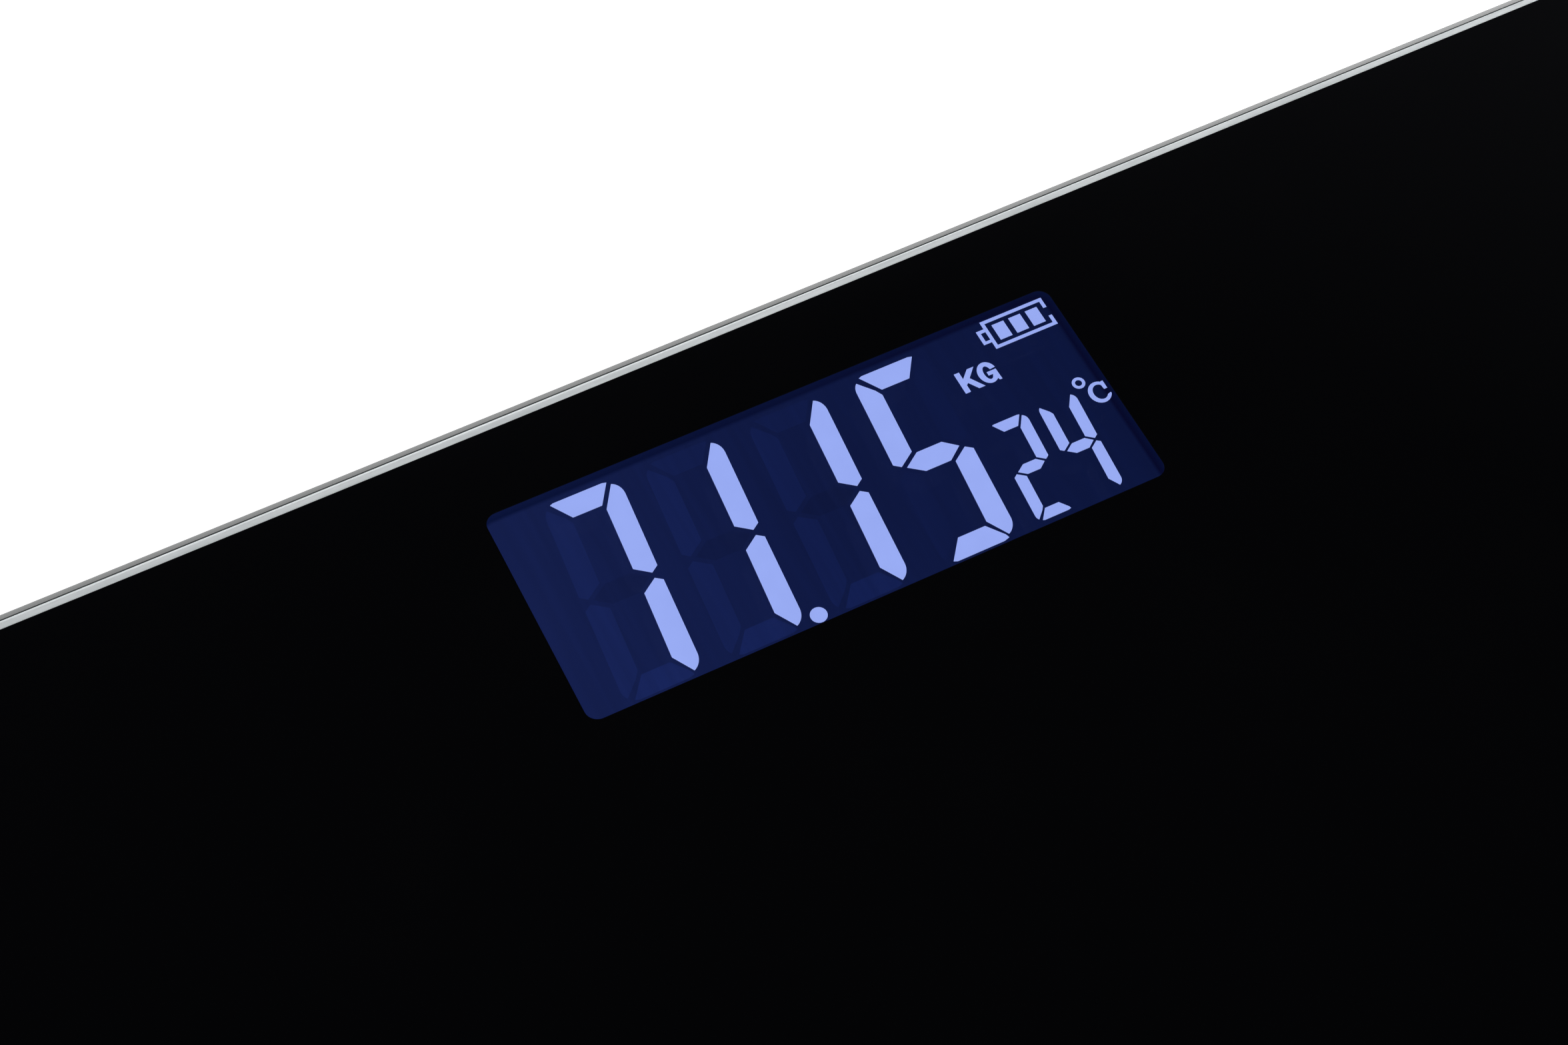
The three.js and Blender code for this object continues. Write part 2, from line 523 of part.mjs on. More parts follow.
// Two tongues hook under the cover at the hinge side; a springy latch holds the other side.
function batteryDoor() {
  const [width, depth] = [DOOR_OPENING.width - 2 * DOOR_GAP, DOOR_OPENING.depth - 2 * DOOR_SIDE_GAP];
  const [left, right] = [-width / 2, width / 2];
  const foot = COVER_TOP - OVERLAP;
  const plate = centredBlock(0, BAY_Y, width, depth, COVER_BOTTOM, COVER_TOP);
  const tongue = (side) => {
    const y = BAY_Y + side * TONGUE.offset;
    const across = [y - TONGUE.width / 2, y + TONGUE.width / 2];
    const riser = block([left, left + TONGUE.riser], across, [foot, TONGUE.top]);
    return riser.add(block([left - TONGUE.reach, left + OVERLAP], across, [TONGUE.bottom, TONGUE.top]));
  };
  const span = (half) => [BAY_Y - half, BAY_Y + half];
  const latch = block([right - LATCH.thickness, right], span(LATCH.halfWidth),
    [foot, COVER_TOP + LATCH.height]);
  const bead = block([right - OVERLAP, right + LATCH_BEAD.reach], span(LATCH_BEAD.halfWidth),
    [COVER_TOP + LATCH_BEAD.low, COVER_TOP + LATCH_BEAD.high]);
  const below = COVER_BOTTOM - THROUGH;
  const slots = [-1, 1].map((side) => centredBlock(right - 3, BAY_Y + side * LATCH.slotOffset,
    LATCH.slotLength, LATCH.slotWidth, below, COVER_TOP + THROUGH));
  const grips = Array.from({ length: GRIP.count }, (_, i) =>
    centredBlock(right - GRIP.fromEdge - GRIP.pitch * i, BAY_Y, GRIP.width, GRIP.length, below,
      COVER_BOTTOM + GRIP.depth));
  const ribs = [-1, 1].map((side) => centredBlock(0, BAY_Y + side * TONGUE.offset,
    DOOR_RIB.length, DOOR_RIB.width, foot, COVER_TOP + DOOR_RIB.height));
  return cut(union([plate, tongue(-1), tongue(1), latch, bead, ...ribs]), [...slots, ...grips]);
}

function coverScrew([x, y]) {
  const { headRadius, headHeight, shankRadius, length, slot, slotReach, slotDepth, ease } = SCREW;
  const bottom = COVER_BOTTOM + FILM;
  const neck = bottom + headHeight - ease;
  const tip = bottom + length;
  const profile = [[0, bottom], [headRadius - ease, bottom], [headRadius, bottom + ease], [headRadius, neck],
    [shankRadius, neck], [shankRadius, tip - 1], [ease, tip], [0, tip]];
  const cross = [[slotReach, slot / 2], [slot / 2, slotReach]].map(([halfX, halfY]) =>
    block([-halfX, halfX], [-halfY, halfY], [bottom - THROUGH, bottom + slotDepth]));
  return cut(turned(profile, SMALL_SIDES), cross).translate([x, y, 0]);
}

// ---------- cells and contacts ----------

// A cell lying along X; its raised positive end points towards side.
function cell(y, side) {
  const { radius, length, capRadius, capHeight, ease } = AAA;
  const half = length / 2;
  const shoulder = half - capHeight;
  const profile = [[0, -half], [radius - ease, -half], [radius, -half + ease], [radius, shoulder - ease],
    [radius - ease, shoulder], [capRadius, shoulder], [capRadius, half], [0, half]];
  return turned(profile).rotate([0, side * 90, 0]).translate([0, y, CELL_AXIS_Z]);
}

// A conical spring standing on a contact plate, pressing towards the cell.
function conicalSpring(y, side) {
  const { turns, base, taper, length, start, wire, steps } = SPRING;
  const coil = new THREE.Curve();
  coil.getPoint = (t) => {
    const [angle, radius] = [2 * Math.PI * turns * t, base - taper * t];
    const x = side * (BAY.width / 2 - start - length * t);
    return new THREE.Vector3(x, y + radius * Math.cos(angle), CELL_AXIS_Z + radius * Math.sin(angle));
  };
  return tube(coil, wire, steps);
}

function contactPlate(yLow, yHigh, side) {
  const across = [CONTACT.back, CONTACT.front].map((inset) => side * (BAY.width / 2 - inset))
    .sort((a, b) => a - b);
  return block(across, [yLow - CONTACT.halfWidth, yHigh + CONTACT.halfWidth], [CONTACT.low, CONTACT.high]);
}

// The raised square that a cell's positive cap touches.
function contactButton(y, side) {
  const { front, button } = CONTACT;
  const across = [front - 0.1, button].map((inset) => side * (BAY.width / 2 - inset)).sort((a, b) => a - b);
  return block(across, [y - button, y + button], [CELL_AXIS_Z - button, CELL_AXIS_Z + button]);
}

const cellRows = [BAY_Y - CELL_PITCH / 2, BAY_Y + CELL_PITCH / 2];

function solderTab(y) {
  const { low, front, button } = CONTACT;
  const x = BAY.width / 2;
  return block([x - front, x + BAY.wall + SOLDER_TAB.reach], [y - button, y + button],
    [low, low + SOLDER_TAB.thickness]);
}

function negativeContact() {
  const y = cellRows[0];
  return union([contactPlate(y, y, 1), conicalSpring(y, 1), solderTab(y)]);
}

function positiveContact() {
  const y = cellRows[1];
  return union([contactPlate(y, y, 1), contactButton(y, 1), solderTab(y)]);
}

function bridgeContact() {
  const [near, far] = cellRows;
  return union([contactPlate(near, far, -1), contactButton(near, -1), conicalSpring(far, -1)]);
}

// From a solder tab, up to the level given by rise, and down to the board.
function batteryLead(y, padX, rise) {
  const { radius, start, tabZ, turnY, padY, padZ, bend, steps } = BATTERY_LEAD;
  const x = BAY.width / 2 + BAY.wall + start;
  const corners = [[x, y, tabZ], [x + 1, y + radius, rise], [padX, turnY, rise], [padX, padY, padZ]];
  return tube(roundedRoute(corners, bend), radius, steps);
}

// ---------- feet ----------

const feet = [
  { name: "front_left", x: -FOOT_REACH, y: -FOOT_REACH },
  { name: "front_right", x: FOOT_REACH, y: -FOOT_REACH },
  { name: "back_left", x: -FOOT_REACH, y: FOOT_REACH },
  { name: "back_right", x: FOOT_REACH, y: FOOT_REACH },
];

// A round cup, open below, with a square collar that presses on the load cell's rim.
// Its lead leaves towards the platform's middle, on the side given by inward.
function footHousing(inward) {
  const { radius, wall, bottom, top, lip, lipRadius, ease } = FOOT;
  const [inner, ceiling] = [radius - wall, top - wall];
  const cup = turned([[0, top], [radius - ease, top], [radius, top - ease], [radius, bottom + 1],
    [radius - 1, bottom], [lipRadius, bottom], [lipRadius, bottom + lip], [inner, bottom + lip],
    [inner, ceiling], [0, ceiling]], FOOT_SIDES);
  const hole = LOAD_CELL.side - 2 * COLLAR_WALL;
  const collar = centredBlock(0, 0, LOAD_CELL.side, LOAD_CELL.side, LOAD_CELL_TOP + FILM, ceiling + OVERLAP)
    .subtract(centredBlock(0, 0, hole, hole, LOAD_CELL_TOP - THROUGH, ceiling));
  const guards = [-1, 1].map((side) => centredBlock(0, side * GUARD.reach, 2 * GUARD.halfWidth,
    2 * GUARD.halfThickness, LOAD_CELL.bottom - GUARD.below, ceiling + OVERLAP));
  const along = (from, to) => [inward * from, inward * to].sort((a, b) => a - b);
  const [near, far] = [CABLE_OFFSET - OUTLET.halfWidth, CABLE_OFFSET + OUTLET.halfWidth];
  const leadPath = block(along(OUTLET.start, OUTLET.end), [near - OUTLET.slack, far],
    [LOAD_CELL_TOP - THROUGH, top + THROUGH]);
  const outlet = block(along(OUTLET.wallStart, OUTLET.end), [near, far], [LEAD_Z - 2, top + THROUGH]);
  const room = 2 * OUTLET.collarReach;
  const collarCut = leadPath.intersect(centredBlock(0, 0, room, room, LOAD_CELL_TOP - THROUGH, ceiling));
  return cut(union([cup, collar, ...guards]), [collarCut, outlet]);
}

// A stamped steel plate whose tongue is bent by the foot under it.
function loadCell() {
  const { side, bottom, rim, slot, corner, hole, holeReach } = LOAD_CELL;
  const plate = roundedSlab(0, 0, side, side, corner, bottom, LOAD_CELL_TOP);
  const [edge, depth] = [side / 2 - rim, side / 2 - rim - slot];
  const through = [bottom - THROUGH, LOAD_CELL_TOP + THROUGH];
  const slots = [block([-edge, -depth], [-edge, edge], through), block([depth, edge], [-edge, edge], through),
    block([-edge, edge], [depth, edge], through)];
  const corners = [-1, 1].flatMap((x) => [-1, 1].map((y) =>
    post(x * holeReach, y * holeReach, hole, ...through)));
  return cut(plate, [...slots, ...corners]);
}

function gaugeSeal() {
  const { y, width, depth, corner, height, ease } = GAUGE_SEAL;
  const outline = roundedRectangle(0, y, width, depth, corner);
  return chamferedSlab(outline, LOAD_CELL_TOP + FILM, LOAD_CELL_TOP + height, 2 * FILM, ease);
}

function footCap() {
  const { radius, flange, bottom, recess, padRadius, ease } = FOOT_CAP;
  const flangeBottom = FOOT.bottom + FOOT.lip + SEAT;
  const flangeTop = flangeBottom + FOOT_BOSS.flangeThickness;
  const bossTop = LOAD_CELL.bottom - FOOT_TRAVEL_GAP;
  return turned([[0, bottom + recess], [padRadius + SEAT, bottom + recess], [padRadius + SEAT, bottom],
    [radius - ease, bottom], [radius, bottom + ease], [radius, flangeBottom], [flange, flangeBottom],
    [flange, flangeTop - ease / 2], [flange - ease / 2, flangeTop], [FOOT_BOSS.base, flangeTop],
    [FOOT_BOSS.radius, bossTop], [0, bossTop]], FOOT_SIDES);
}

function footPad() {
  const { bottom, recess, padRadius, ease } = FOOT_CAP;
  const { radius, halfMouth, halfFloor, depth } = PAD_GROOVE;
  const groove = [[radius - halfMouth, 0], [radius - halfFloor, depth], [radius + halfFloor, depth],
    [radius + halfMouth, 0]];
  const top = bottom + recess - FILM;
  const edge = [[padRadius - ease, 0], [padRadius, ease], [padRadius, top]];
  return turned([[0, 0], ...groove, ...edge, [0, top]], FOOT_SIDES);
}

// ---------- leads ----------

// From the gauges, out of the foot housing, along the duct and down to the board.
function loadCellLead(foot) {
  const side = Math.sign(foot.x);
  const exitY = foot.y + CABLE_OFFSET;
  const inFoot = [[foot.x - side * 8, foot.y - 8, 12.6], [foot.x - side * 15, exitY, 12.9],
    [foot.x - side * 22, exitY, LEAD_Z]];
  const intoDuct = [[side * (DUCT_X + DUCT_BEND), exitY, LEAD_Z]];
  const longRun = [[side * DUCT_X, exitY + DUCT_BEND, LEAD_Z],
    [side * DUCT_X, FRONT_LEAD_Y - DUCT_BEND, LEAD_Z], [side * (DUCT_X - DUCT_BEND), FRONT_LEAD_Y, LEAD_Z],
    [side * 44, FRONT_LEAD_Y, LEAD_Z], [side * 38, FRONT_LEAD_Y + 2, 13], [side * 34.6, 100, 11.5]];
  const shortRun = [[side * (DUCT_X - 1), BACK_LEAD_Y, LEAD_Z], [side * 46, BACK_LEAD_Y, LEAD_Z],
    [side * 42, BACK_LEAD_Y + 2, 13], [side * 39.4, 102.5, 11.5]];
  const [run, steps] = foot.y < 0 ? [longRun, 44] : [shortRun, 20];
  return tube(roundedRoute([...inFoot, ...intoDuct, ...run], LEAD_BEND), LEAD_RADIUS, steps);
}

function leadDuct(side) {
  const mirror = (points) => points.map(([x, y]) => [side * x, y]);
  const footEdge = FOOT_REACH - FOOT.radius - 0.4;
  const housingEdge = HOUSING.width / 2 + HOUSING.flange + SEAT;
  const [frontY, backY] = [-FOOT_REACH + CABLE_OFFSET, FOOT_REACH + CABLE_OFFSET];
  const long = mirror([[footEdge, frontY], [DUCT_X + DUCT_BEND, frontY], [DUCT_X, frontY + DUCT_BEND],
    [DUCT_X, FRONT_LEAD_Y - DUCT_BEND], [DUCT_X - DUCT_BEND, FRONT_LEAD_Y], [housingEdge, FRONT_LEAD_Y]]);
  const short = mirror([[footEdge, backY], [DUCT_X + DUCT_BEND, backY], [DUCT_X - 1, BACK_LEAD_Y],
    [housingEdge, BACK_LEAD_Y]]);
  const outside = [long, short].map((line) => slab(strip(line, DUCT.halfWidth), DUCT.bottom, GLUE_FACE));
  const channel = [DUCT.floor, GLUE_FACE + THROUGH];
  const channels = [long, short].map((line) => slab(strip(line, DUCT.halfChannel), ...channel));
  const openEnds = [long, short].flatMap((line) => [line[0], line.at(-1)]).map(([x, y]) =>
    centredBlock(x, y, THROUGH, 2 * DUCT.halfChannel, ...channel));
  return cut(union(outside), [...channels, ...openEnds]);
}

// ---------- assembly ----------

place("glass_platform", glassPlatform(), clearGlass);
place("backing_print", backingPrint(), blackPrint);
place("display_seal", displaySeal(), foam);
place("front_polariser", frontPolariser(), displayBlue);
place("front_lcd_glass", frontGlass(), clearPlastic);
place("rear_lcd_glass", rearSheet(REAR_GLASS_TOP, CELL.glass), clearPlastic);
place("rear_polariser", rearSheet(REAR_POLARISER_TOP, CELL.polariser), displayBlue);
place("backlight_frame", backlightFrame(), whitePlastic);
place("light_guide", guideSheet(GUIDE_BOTTOM, GUIDE.thickness), clearPlastic);
place("reflector_sheet", guideSheet(REFLECTOR_BOTTOM, REFLECTOR_THICKNESS), whitePlastic);
place("backlight_led_left", backlightLed(-1), whitePlastic);
place("backlight_led_right", backlightLed(1), whitePlastic);
place("zebra_connector", zebraConnector(), foam);
place("main_board", mainBoard(), boardGreen);
place("controller_chip", controllerChip(), chipBlack, CHIP.x, CHIP.y);
place("supply_capacitor", supplyCapacitor(), chipBlack, CAPACITOR.x, CAPACITOR.y);
place("temperature_sensor", temperatureSensor(), chipBlack, SENSOR.x, SENSOR.y);
place("tact_switch", tactSwitch(), chipBlack);
place("switch_plunger", switchPlunger(), whitePlastic);
place("unit_button", unitButton(), greyRubber);
place("display_housing", displayHousing(), darkPlastic);
place("housing_cover", housingCover(), darkPlastic);
place("battery_door", batteryDoor(), darkPlastic);
bossPlaces.forEach((at, i) => place(`cover_screw_${i + 1}`, coverScrew(at), steel));
place("battery_cell_near", cell(cellRows[0], -1), cellLabel);
place("battery_cell_far", cell(cellRows[1], 1), cellLabel);
place("negative_contact", negativeContact(), spring);
place("positive_contact", positiveContact(), spring);
place("bridge_contact", bridgeContact(), spring);
place("battery_lead_black", batteryLead(cellRows[0], 30.1, 14.8), blackWire);
place("battery_lead_red", batteryLead(cellRows[1], 32.4, 11.6), redWire);
for (const foot of feet) {
  const inward = -Math.sign(foot.x);
  place(`foot_housing_${foot.name}`, footHousing(inward), darkPlastic, foot.x, foot.y);
  place(`load_cell_${foot.name}`, loadCell(), steel, foot.x, foot.y);
  place(`gauge_seal_${foot.name}`, gaugeSeal(), silicone, foot.x, foot.y);
  place(`foot_cap_${foot.name}`, footCap(), darkPlastic, foot.x, foot.y);
  place(`foot_pad_${foot.name}`, footPad(), greyRubber, foot.x, foot.y);
  place(`load_cell_lead_${foot.name}`, loadCellLead(foot), leadGrey);
}
place("lead_duct_left", leadDuct(-1), whitePlastic);
place("lead_duct_right", leadDuct(1), whitePlastic);

export default scale;
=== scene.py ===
"""Looks of a digital bathroom scale: black-backed glass on four feet, with a lit display."""
import math

import bmesh
import bpy
from mathutils import Matrix, Vector


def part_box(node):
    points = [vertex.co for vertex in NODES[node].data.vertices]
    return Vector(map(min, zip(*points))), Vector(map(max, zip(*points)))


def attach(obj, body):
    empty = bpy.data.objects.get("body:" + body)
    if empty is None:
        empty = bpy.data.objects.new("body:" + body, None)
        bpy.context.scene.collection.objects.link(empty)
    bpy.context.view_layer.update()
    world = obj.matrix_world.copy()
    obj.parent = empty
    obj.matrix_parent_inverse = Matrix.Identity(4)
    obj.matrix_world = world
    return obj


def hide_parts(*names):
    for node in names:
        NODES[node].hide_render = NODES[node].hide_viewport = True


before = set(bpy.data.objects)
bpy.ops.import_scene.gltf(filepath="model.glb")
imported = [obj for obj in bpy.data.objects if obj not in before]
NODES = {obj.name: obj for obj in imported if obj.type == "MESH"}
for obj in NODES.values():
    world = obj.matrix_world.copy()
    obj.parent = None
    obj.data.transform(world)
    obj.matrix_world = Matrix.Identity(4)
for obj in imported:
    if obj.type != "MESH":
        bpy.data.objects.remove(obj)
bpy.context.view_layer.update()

MM = 0.001

# ---------- sizes, in millimetres, from the frame ----------


def node_box(node):
    """Lowest and highest corner of a CAD node, in millimetres."""
    low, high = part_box(node)
    return low / MM, high / MM


def node_middle(node):
    """The point of the floor under a CAD node's middle, in millimetres."""
    low, high = node_box(node)
    return Vector(((low.x + high.x) / 2, (low.y + high.y) / 2, 0))


GLASS_LOW, GLASS_HIGH = node_box("glass_platform")
PRINT_LOW, _ = node_box("backing_print")
POLARISER_LOW, POLARISER_HIGH = node_box("front_polariser")
PLATFORM = GLASS_HIGH.x - GLASS_LOW.x
PLATFORM_CORNER = 28
TOP_ARRIS = {"width": 1.27, "depth": 1.0}
BOTTOM_ARRIS = 0.6
WINDOW = {"width": 75, "height": 29.8, "corner": 1.6}
# The window and the figures sit very slightly turned in the glass.
DISPLAY_TURN = math.radians(-0.394)
DISPLAY = (POLARISER_LOW + POLARISER_HIGH) / 2
DISPLAY.z = POLARISER_HIGH.z

# ---------- meshes ----------

# Steps in each rounded corner of the platform and its window, and round each kind of turned piece.
CORNER_STEPS = 40
FOOT_SIDES = 128
BUTTON_SIDES = 72
CELL_SIDES = 64
SCREW_SIDES = 40
# A corner's rounding takes at most this share of each side, and under the least size it is left out.
EASE_SHARE = 0.48
EASE_LEAST = 1e-4
# A point of a profile nearer to the axis than this lies on it.
ON_AXIS = 1e-6
# A casing's edges that turn by more than this many degrees are rounded.
EASE_ANGLE = 40
# Edges that turn by more than this many degrees look sharp.
SHARP = 30


def piece(name, vertices, faces, material, body="platform", replaces=()):
    """A mesh given in millimetres, riding on a body."""
    mesh = bpy.data.meshes.new(name)
    mesh.from_pydata([Vector(v) * MM for v in vertices], [], faces)
    made = bpy.data.objects.new(name, mesh)
    bpy.context.scene.collection.objects.link(made)
    finish_piece(made, material, body, replaces)
    return made


def finish_piece(made, material, body, replaces):
    """Gives a new piece its materials and its body, and hides the CAD nodes it stands for."""
    materials = material if isinstance(material, list) else [material]
    for each in materials:
        made.data.materials.append(each)
    round_off(made.data)
    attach(made, body)
    if replaces:
        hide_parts(*replaces)


def round_off(mesh, smooth=SHARP):
    """Normals smoothed across edges that turn by less than smooth degrees, and faces pointing out."""
    shape = bmesh.new()
    shape.from_mesh(mesh)
    bmesh.ops.recalc_face_normals(shape, faces=shape.faces)
    limit = math.radians(smooth)
    for face in shape.faces:
        face.smooth = True
    for edge in shape.edges:
        edge.smooth = edge.calc_face_angle(math.pi) < limit
    shape.to_mesh(mesh)
    shape.free()


def rounded_outline(width, height, corner):
    """Points round a rectangle with arcs at its corners, counter-clockwise about the origin."""
    points = []
    for quarter in range(4):
        sign_x = 1 if quarter in (0, 3) else -1
        sign_y = 1 if quarter in (0, 1) else -1
        middle_x = sign_x * (width / 2 - corner)
        middle_y = sign_y * (height / 2 - corner)
        for step in range(CORNER_STEPS + 1):
            angle = math.pi / 2 * (quarter + step / CORNER_STEPS)
            points.append((middle_x + corner * math.cos(angle), middle_y + corner * math.sin(angle)))
    return points


def stacked(rings, close=True):
    """Vertices and faces of equal rings of points, each joined to the next, with flat ends if closed."""
    count = len(rings[0])
    vertices = [point for ring in rings for point in ring]
    faces = []
    for level in range(len(rings) - 1):
        for i in range(count):
            j = (i + 1) % count
            low, high = level * count, (level + 1) * count
            faces.append((low + i, low + j, high + j, high + i))
    if close:
        faces.append(tuple(reversed(range(count))))
        faces.append(tuple(range((len(rings) - 1) * count, len(rings) * count)))
    return vertices, faces


def eased(points, steps=4):
    """A profile whose corners are rounded; a point is (radius, height) or (radius, height, rounding)."""
    corners = [Vector(point[:2]) for point in points]
    outline = [corners[0]]
    for i in range(1, len(corners) - 1):
        corner, rounding = corners[i], points[i][2] if len(points[i]) > 2 else 0
        before, after = corners[i - 1] - corner, corners[i + 1] - corner
        reach = min(rounding, EASE_SHARE * before.length, EASE_SHARE * after.length)
        if reach < EASE_LEAST:
            outline.append(corner)
            continue
        start, end = corner + before.normalized() * reach, corner + after.normalized() * reach
        for step in range(steps + 1):
            t = step / steps
            outline.append(start * (1 - t) ** 2 + corner * 2 * t * (1 - t) + end * t * t)
    outline.append(corners[-1])
    return outline


def turned(profile, sides, centre, along="Z"):
    """A turned solid: its profile starts and ends on the axis, which runs along Z or X through centre."""
    vertices, faces, rings = [], [], []
    for radius, height in profile:
        if radius < ON_AXIS:
            rings.append([len(vertices)])
            vertices.append((0, 0, height))
            continue
        rings.append(list(range(len(vertices), len(vertices) + sides)))
        for i in range(sides):
            angle = 2 * math.pi * i / sides
            vertices.append((radius * math.cos(angle), radius * math.sin(angle), height))
    for low, high in zip(rings, rings[1:]):
        for i in range(sides):
            j = (i + 1) % sides
            loop = [low[i % len(low)], low[j % len(low)], high[j % len(high)], high[i % len(high)]]
            distinct = list(dict.fromkeys(loop))
            if len(distinct) > 2:
                faces.append(distinct)
    if along == "X":
        vertices = [(z, x, y) for x, y, z in vertices]
    return [Vector(v) + Vector(centre) for v in vertices], faces


def boxes(*spans):
    """Closed blocks, each given by its x, y and z spans."""
    vertices, faces = [], []
    for (x0, x1), (y0, y1), (z0, z1) in spans:
        start = len(vertices)
        vertices += [(x, y, z) for z in (z0, z1) for x, y in ((x0, y0), (x1, y0), (x1, y1), (x0, y1))]
        for loop in ((3, 2, 1, 0), (4, 5, 6, 7), (0, 1, 5, 4), (1, 2, 6, 5), (2, 3, 7, 6), (3, 0, 4, 7)):
            faces.append(tuple(start + i for i in loop))
    return vertices, faces


def carve(made, vertices, faces):
    """Cuts a closed shape out of a piece."""
    mesh = bpy.data.meshes.new("cutter")
    mesh.from_pydata([Vector(v) * MM for v in vertices], [], faces)
    round_off(mesh, 0)
    cutter = bpy.data.objects.new("cutter", mesh)
    bpy.context.scene.collection.objects.link(cutter)
    modifier = made.modifiers.new("carve", "BOOLEAN")
    modifier.operation = "DIFFERENCE"
    modifier.solver = "EXACT"
    modifier.object = cutter
    bpy.context.view_layer.update()
    shaped = bpy.data.meshes.new_from_object(made.evaluated_get(bpy.context.evaluated_depsgraph_get()))
    made.modifiers.clear()
    made.data = shaped
    bpy.data.objects.remove(cutter)


def ease_edges(node, width, segments=2):
    """Rounds the sharp edges of a carried-over CAD node, without changing its mesh."""
    modifier = NODES[node].modifiers.new("eased", "BEVEL")
    modifier.width = width * MM
    modifier.segments = segments
    modifier.limit_method = "ANGLE"
    modifier.angle_limit = math.radians(EASE_ANGLE)
    modifier.harden_normals = True


def dress(node, material):
    """A carried-over CAD node with its finish."""
    NODES[node].data.materials.clear()
    NODES[node].data.materials.append(material)


# ---------- shader nodes ----------


def set_stops(node, stops):
    """Gives a colour ramp its stops, each a position and a colour."""
    elements = node.color_ramp.elements
    while len(elements) < len(stops):
        elements.new(1)
    for element, (position, colour) in zip(elements, stops):
        element.position = position
        element.color = colour


class Nodes:
    """A short way to write a material's nodes."""

    def __init__(self, name):
        self.material = bpy.data.materials.new(name)
        self.material.use_nodes = True
        self.tree = self.material.node_tree
        self.tree.nodes.clear()
        self.output = self.tree.nodes.new("ShaderNodeOutputMaterial")

    def link(self, source, target):
        """Joins an output to an input."""
        self.tree.links.new(source, target)

    def node(self, kind, inputs=None, **settings):
        """A node with its settings, whose inputs are sockets to join or values to set."""
        made = self.tree.nodes.new(kind)
        for key, value in settings.items():
            setattr(made, key, value)
        for key, value in (inputs or {}).items():
            if isinstance(value, bpy.types.NodeSocket):
                self.link(value, made.inputs[key])
            else:
                made.inputs[key].default_value = value
        return made

    def maths(self, operation, first, second=None, third=None):
        """One step of arithmetic on up to three values."""
        values = [v for v in (first, second, third) if v is not None]
        return self.node("ShaderNodeMath", dict(enumerate(values)), operation=operation).outputs[0]

    def place(self):
        """The point in the object's own space, which is the row frame, in metres."""
        return self.node("ShaderNodeTexCoord").outputs["Object"]

    def parts(self, vector):
        """The x, y and z of a point."""
        return self.node("ShaderNodeSeparateXYZ", {0: vector}).outputs

    def noise(self, size, detail=3, stretch=(1, 1, 1)):
        """Noise with features about size millimetres across, drawn out along an axis by stretch."""
        scale = tuple(1 / each for each in stretch)
        spot = self.node("ShaderNodeMapping", {"Vector": self.place(), "Scale": scale}).outputs[0]
        settings = {"Vector": spot, "Scale": 1 / (size * MM), "Detail": detail}
        return self.node("ShaderNodeTexNoise", settings).outputs[0]

    def spread(self, value, low, high, start=0.0, end=1.0):
        """value from start to end, mapped to low to high."""
        inputs = {"Value": value, "From Min": start, "From Max": end, "To Min": low, "To Max": high}
        return self.node("ShaderNodeMapRange", inputs).outputs[0]

    def ramp(self, value, stops):
        """The colour that the stops give at value."""
        made = self.node("ShaderNodeValToRGB", {0: value})
        set_stops(made, stops)
        return made.outputs[0]

    def tones(self, value, dark, light):
        """dark to light as value, a noise, goes over most of its range."""
        return self.ramp(value, [(0.3, dark), (0.7, light)])

    def blend(self, share, first, second, kind="MIX"):
        """first and second, mixed by share."""
        made = self.node("ShaderNodeMix", data_type="RGBA", blend_type=kind)
        for socket, value in ((0, share), (6, first), (7, second)):
            if isinstance(value, bpy.types.NodeSocket):
                self.link(value, made.inputs[socket])
            else:
                made.inputs[socket].default_value = value
        return made.outputs[2]

    def bump(self, height, distance, strength=1.0):
        """A bump of height times distance, in millimetres."""
        inputs = {"Height": height, "Distance": distance * MM, "Strength": strength}
        return self.node("ShaderNodeBump", inputs).outputs[0]

    def principled(self, **inputs):
        """A Principled BSDF, whose input names are written with underscores."""
        named = {key.replace("_", " "): value for key, value in inputs.items()}
        return self.node("ShaderNodeBsdfPrincipled", named).outputs[0]

    def done(self, shader):
        """The finished material, with shader as its surface."""
        self.link(shader, self.output.inputs["Surface"])
        return self.material


def tint(red, green, blue):
    """A colour given as 0 to 255 on a screen, as the linear values a shader takes."""
    def linear(value):
        share = value / 255
        return share / 12.92 if share <= 0.04045 else ((share + 0.055) / 1.055) ** 2.4
    return (linear(red), linear(green), linear(blue), 1)


# ---------- materials: platform ----------

# The grinding wheel's marks are drawn out along the edge, and this share of the light goes through it.
ALONG_EDGE = (30, 30, 1)
EDGE_SCATTER = 0.6


def polished_glass():
    """Clear float glass with a few soft smears."""
    nodes = Nodes("polished_glass")
    smears = nodes.spread(nodes.noise(22, 4), 0.0, 0.05, 0.45, 0.75)
    shader = nodes.principled(Base_Color=(0.98, 0.99, 0.99, 1), Roughness=smears, IOR=1.52,
                              Transmission_Weight=1.0)
    return nodes.done(shader)


def ground_glass():
    """An edge ground with a fine wheel: light comes through it scattered."""
    nodes = Nodes("ground_edge")
    grain = nodes.noise(0.35, 5)
    streaks = nodes.noise(0.5, 4, ALONG_EDGE)
    normal = nodes.bump(nodes.maths("ADD", grain, streaks), 0.02)
    colour = nodes.tones(streaks, tint(199, 203, 205), tint(217, 220, 222))
    surface = nodes.principled(Base_Color=colour, Roughness=0.35, IOR=1.52, Normal=normal)
    through = nodes.node("ShaderNodeBsdfTranslucent", {"Color": colour, "Normal": normal}).outputs[0]
    mixed = nodes.node("ShaderNodeMixShader", {0: EDGE_SCATTER, 1: surface, 2: through}).outputs[0]
    return nodes.done(mixed)


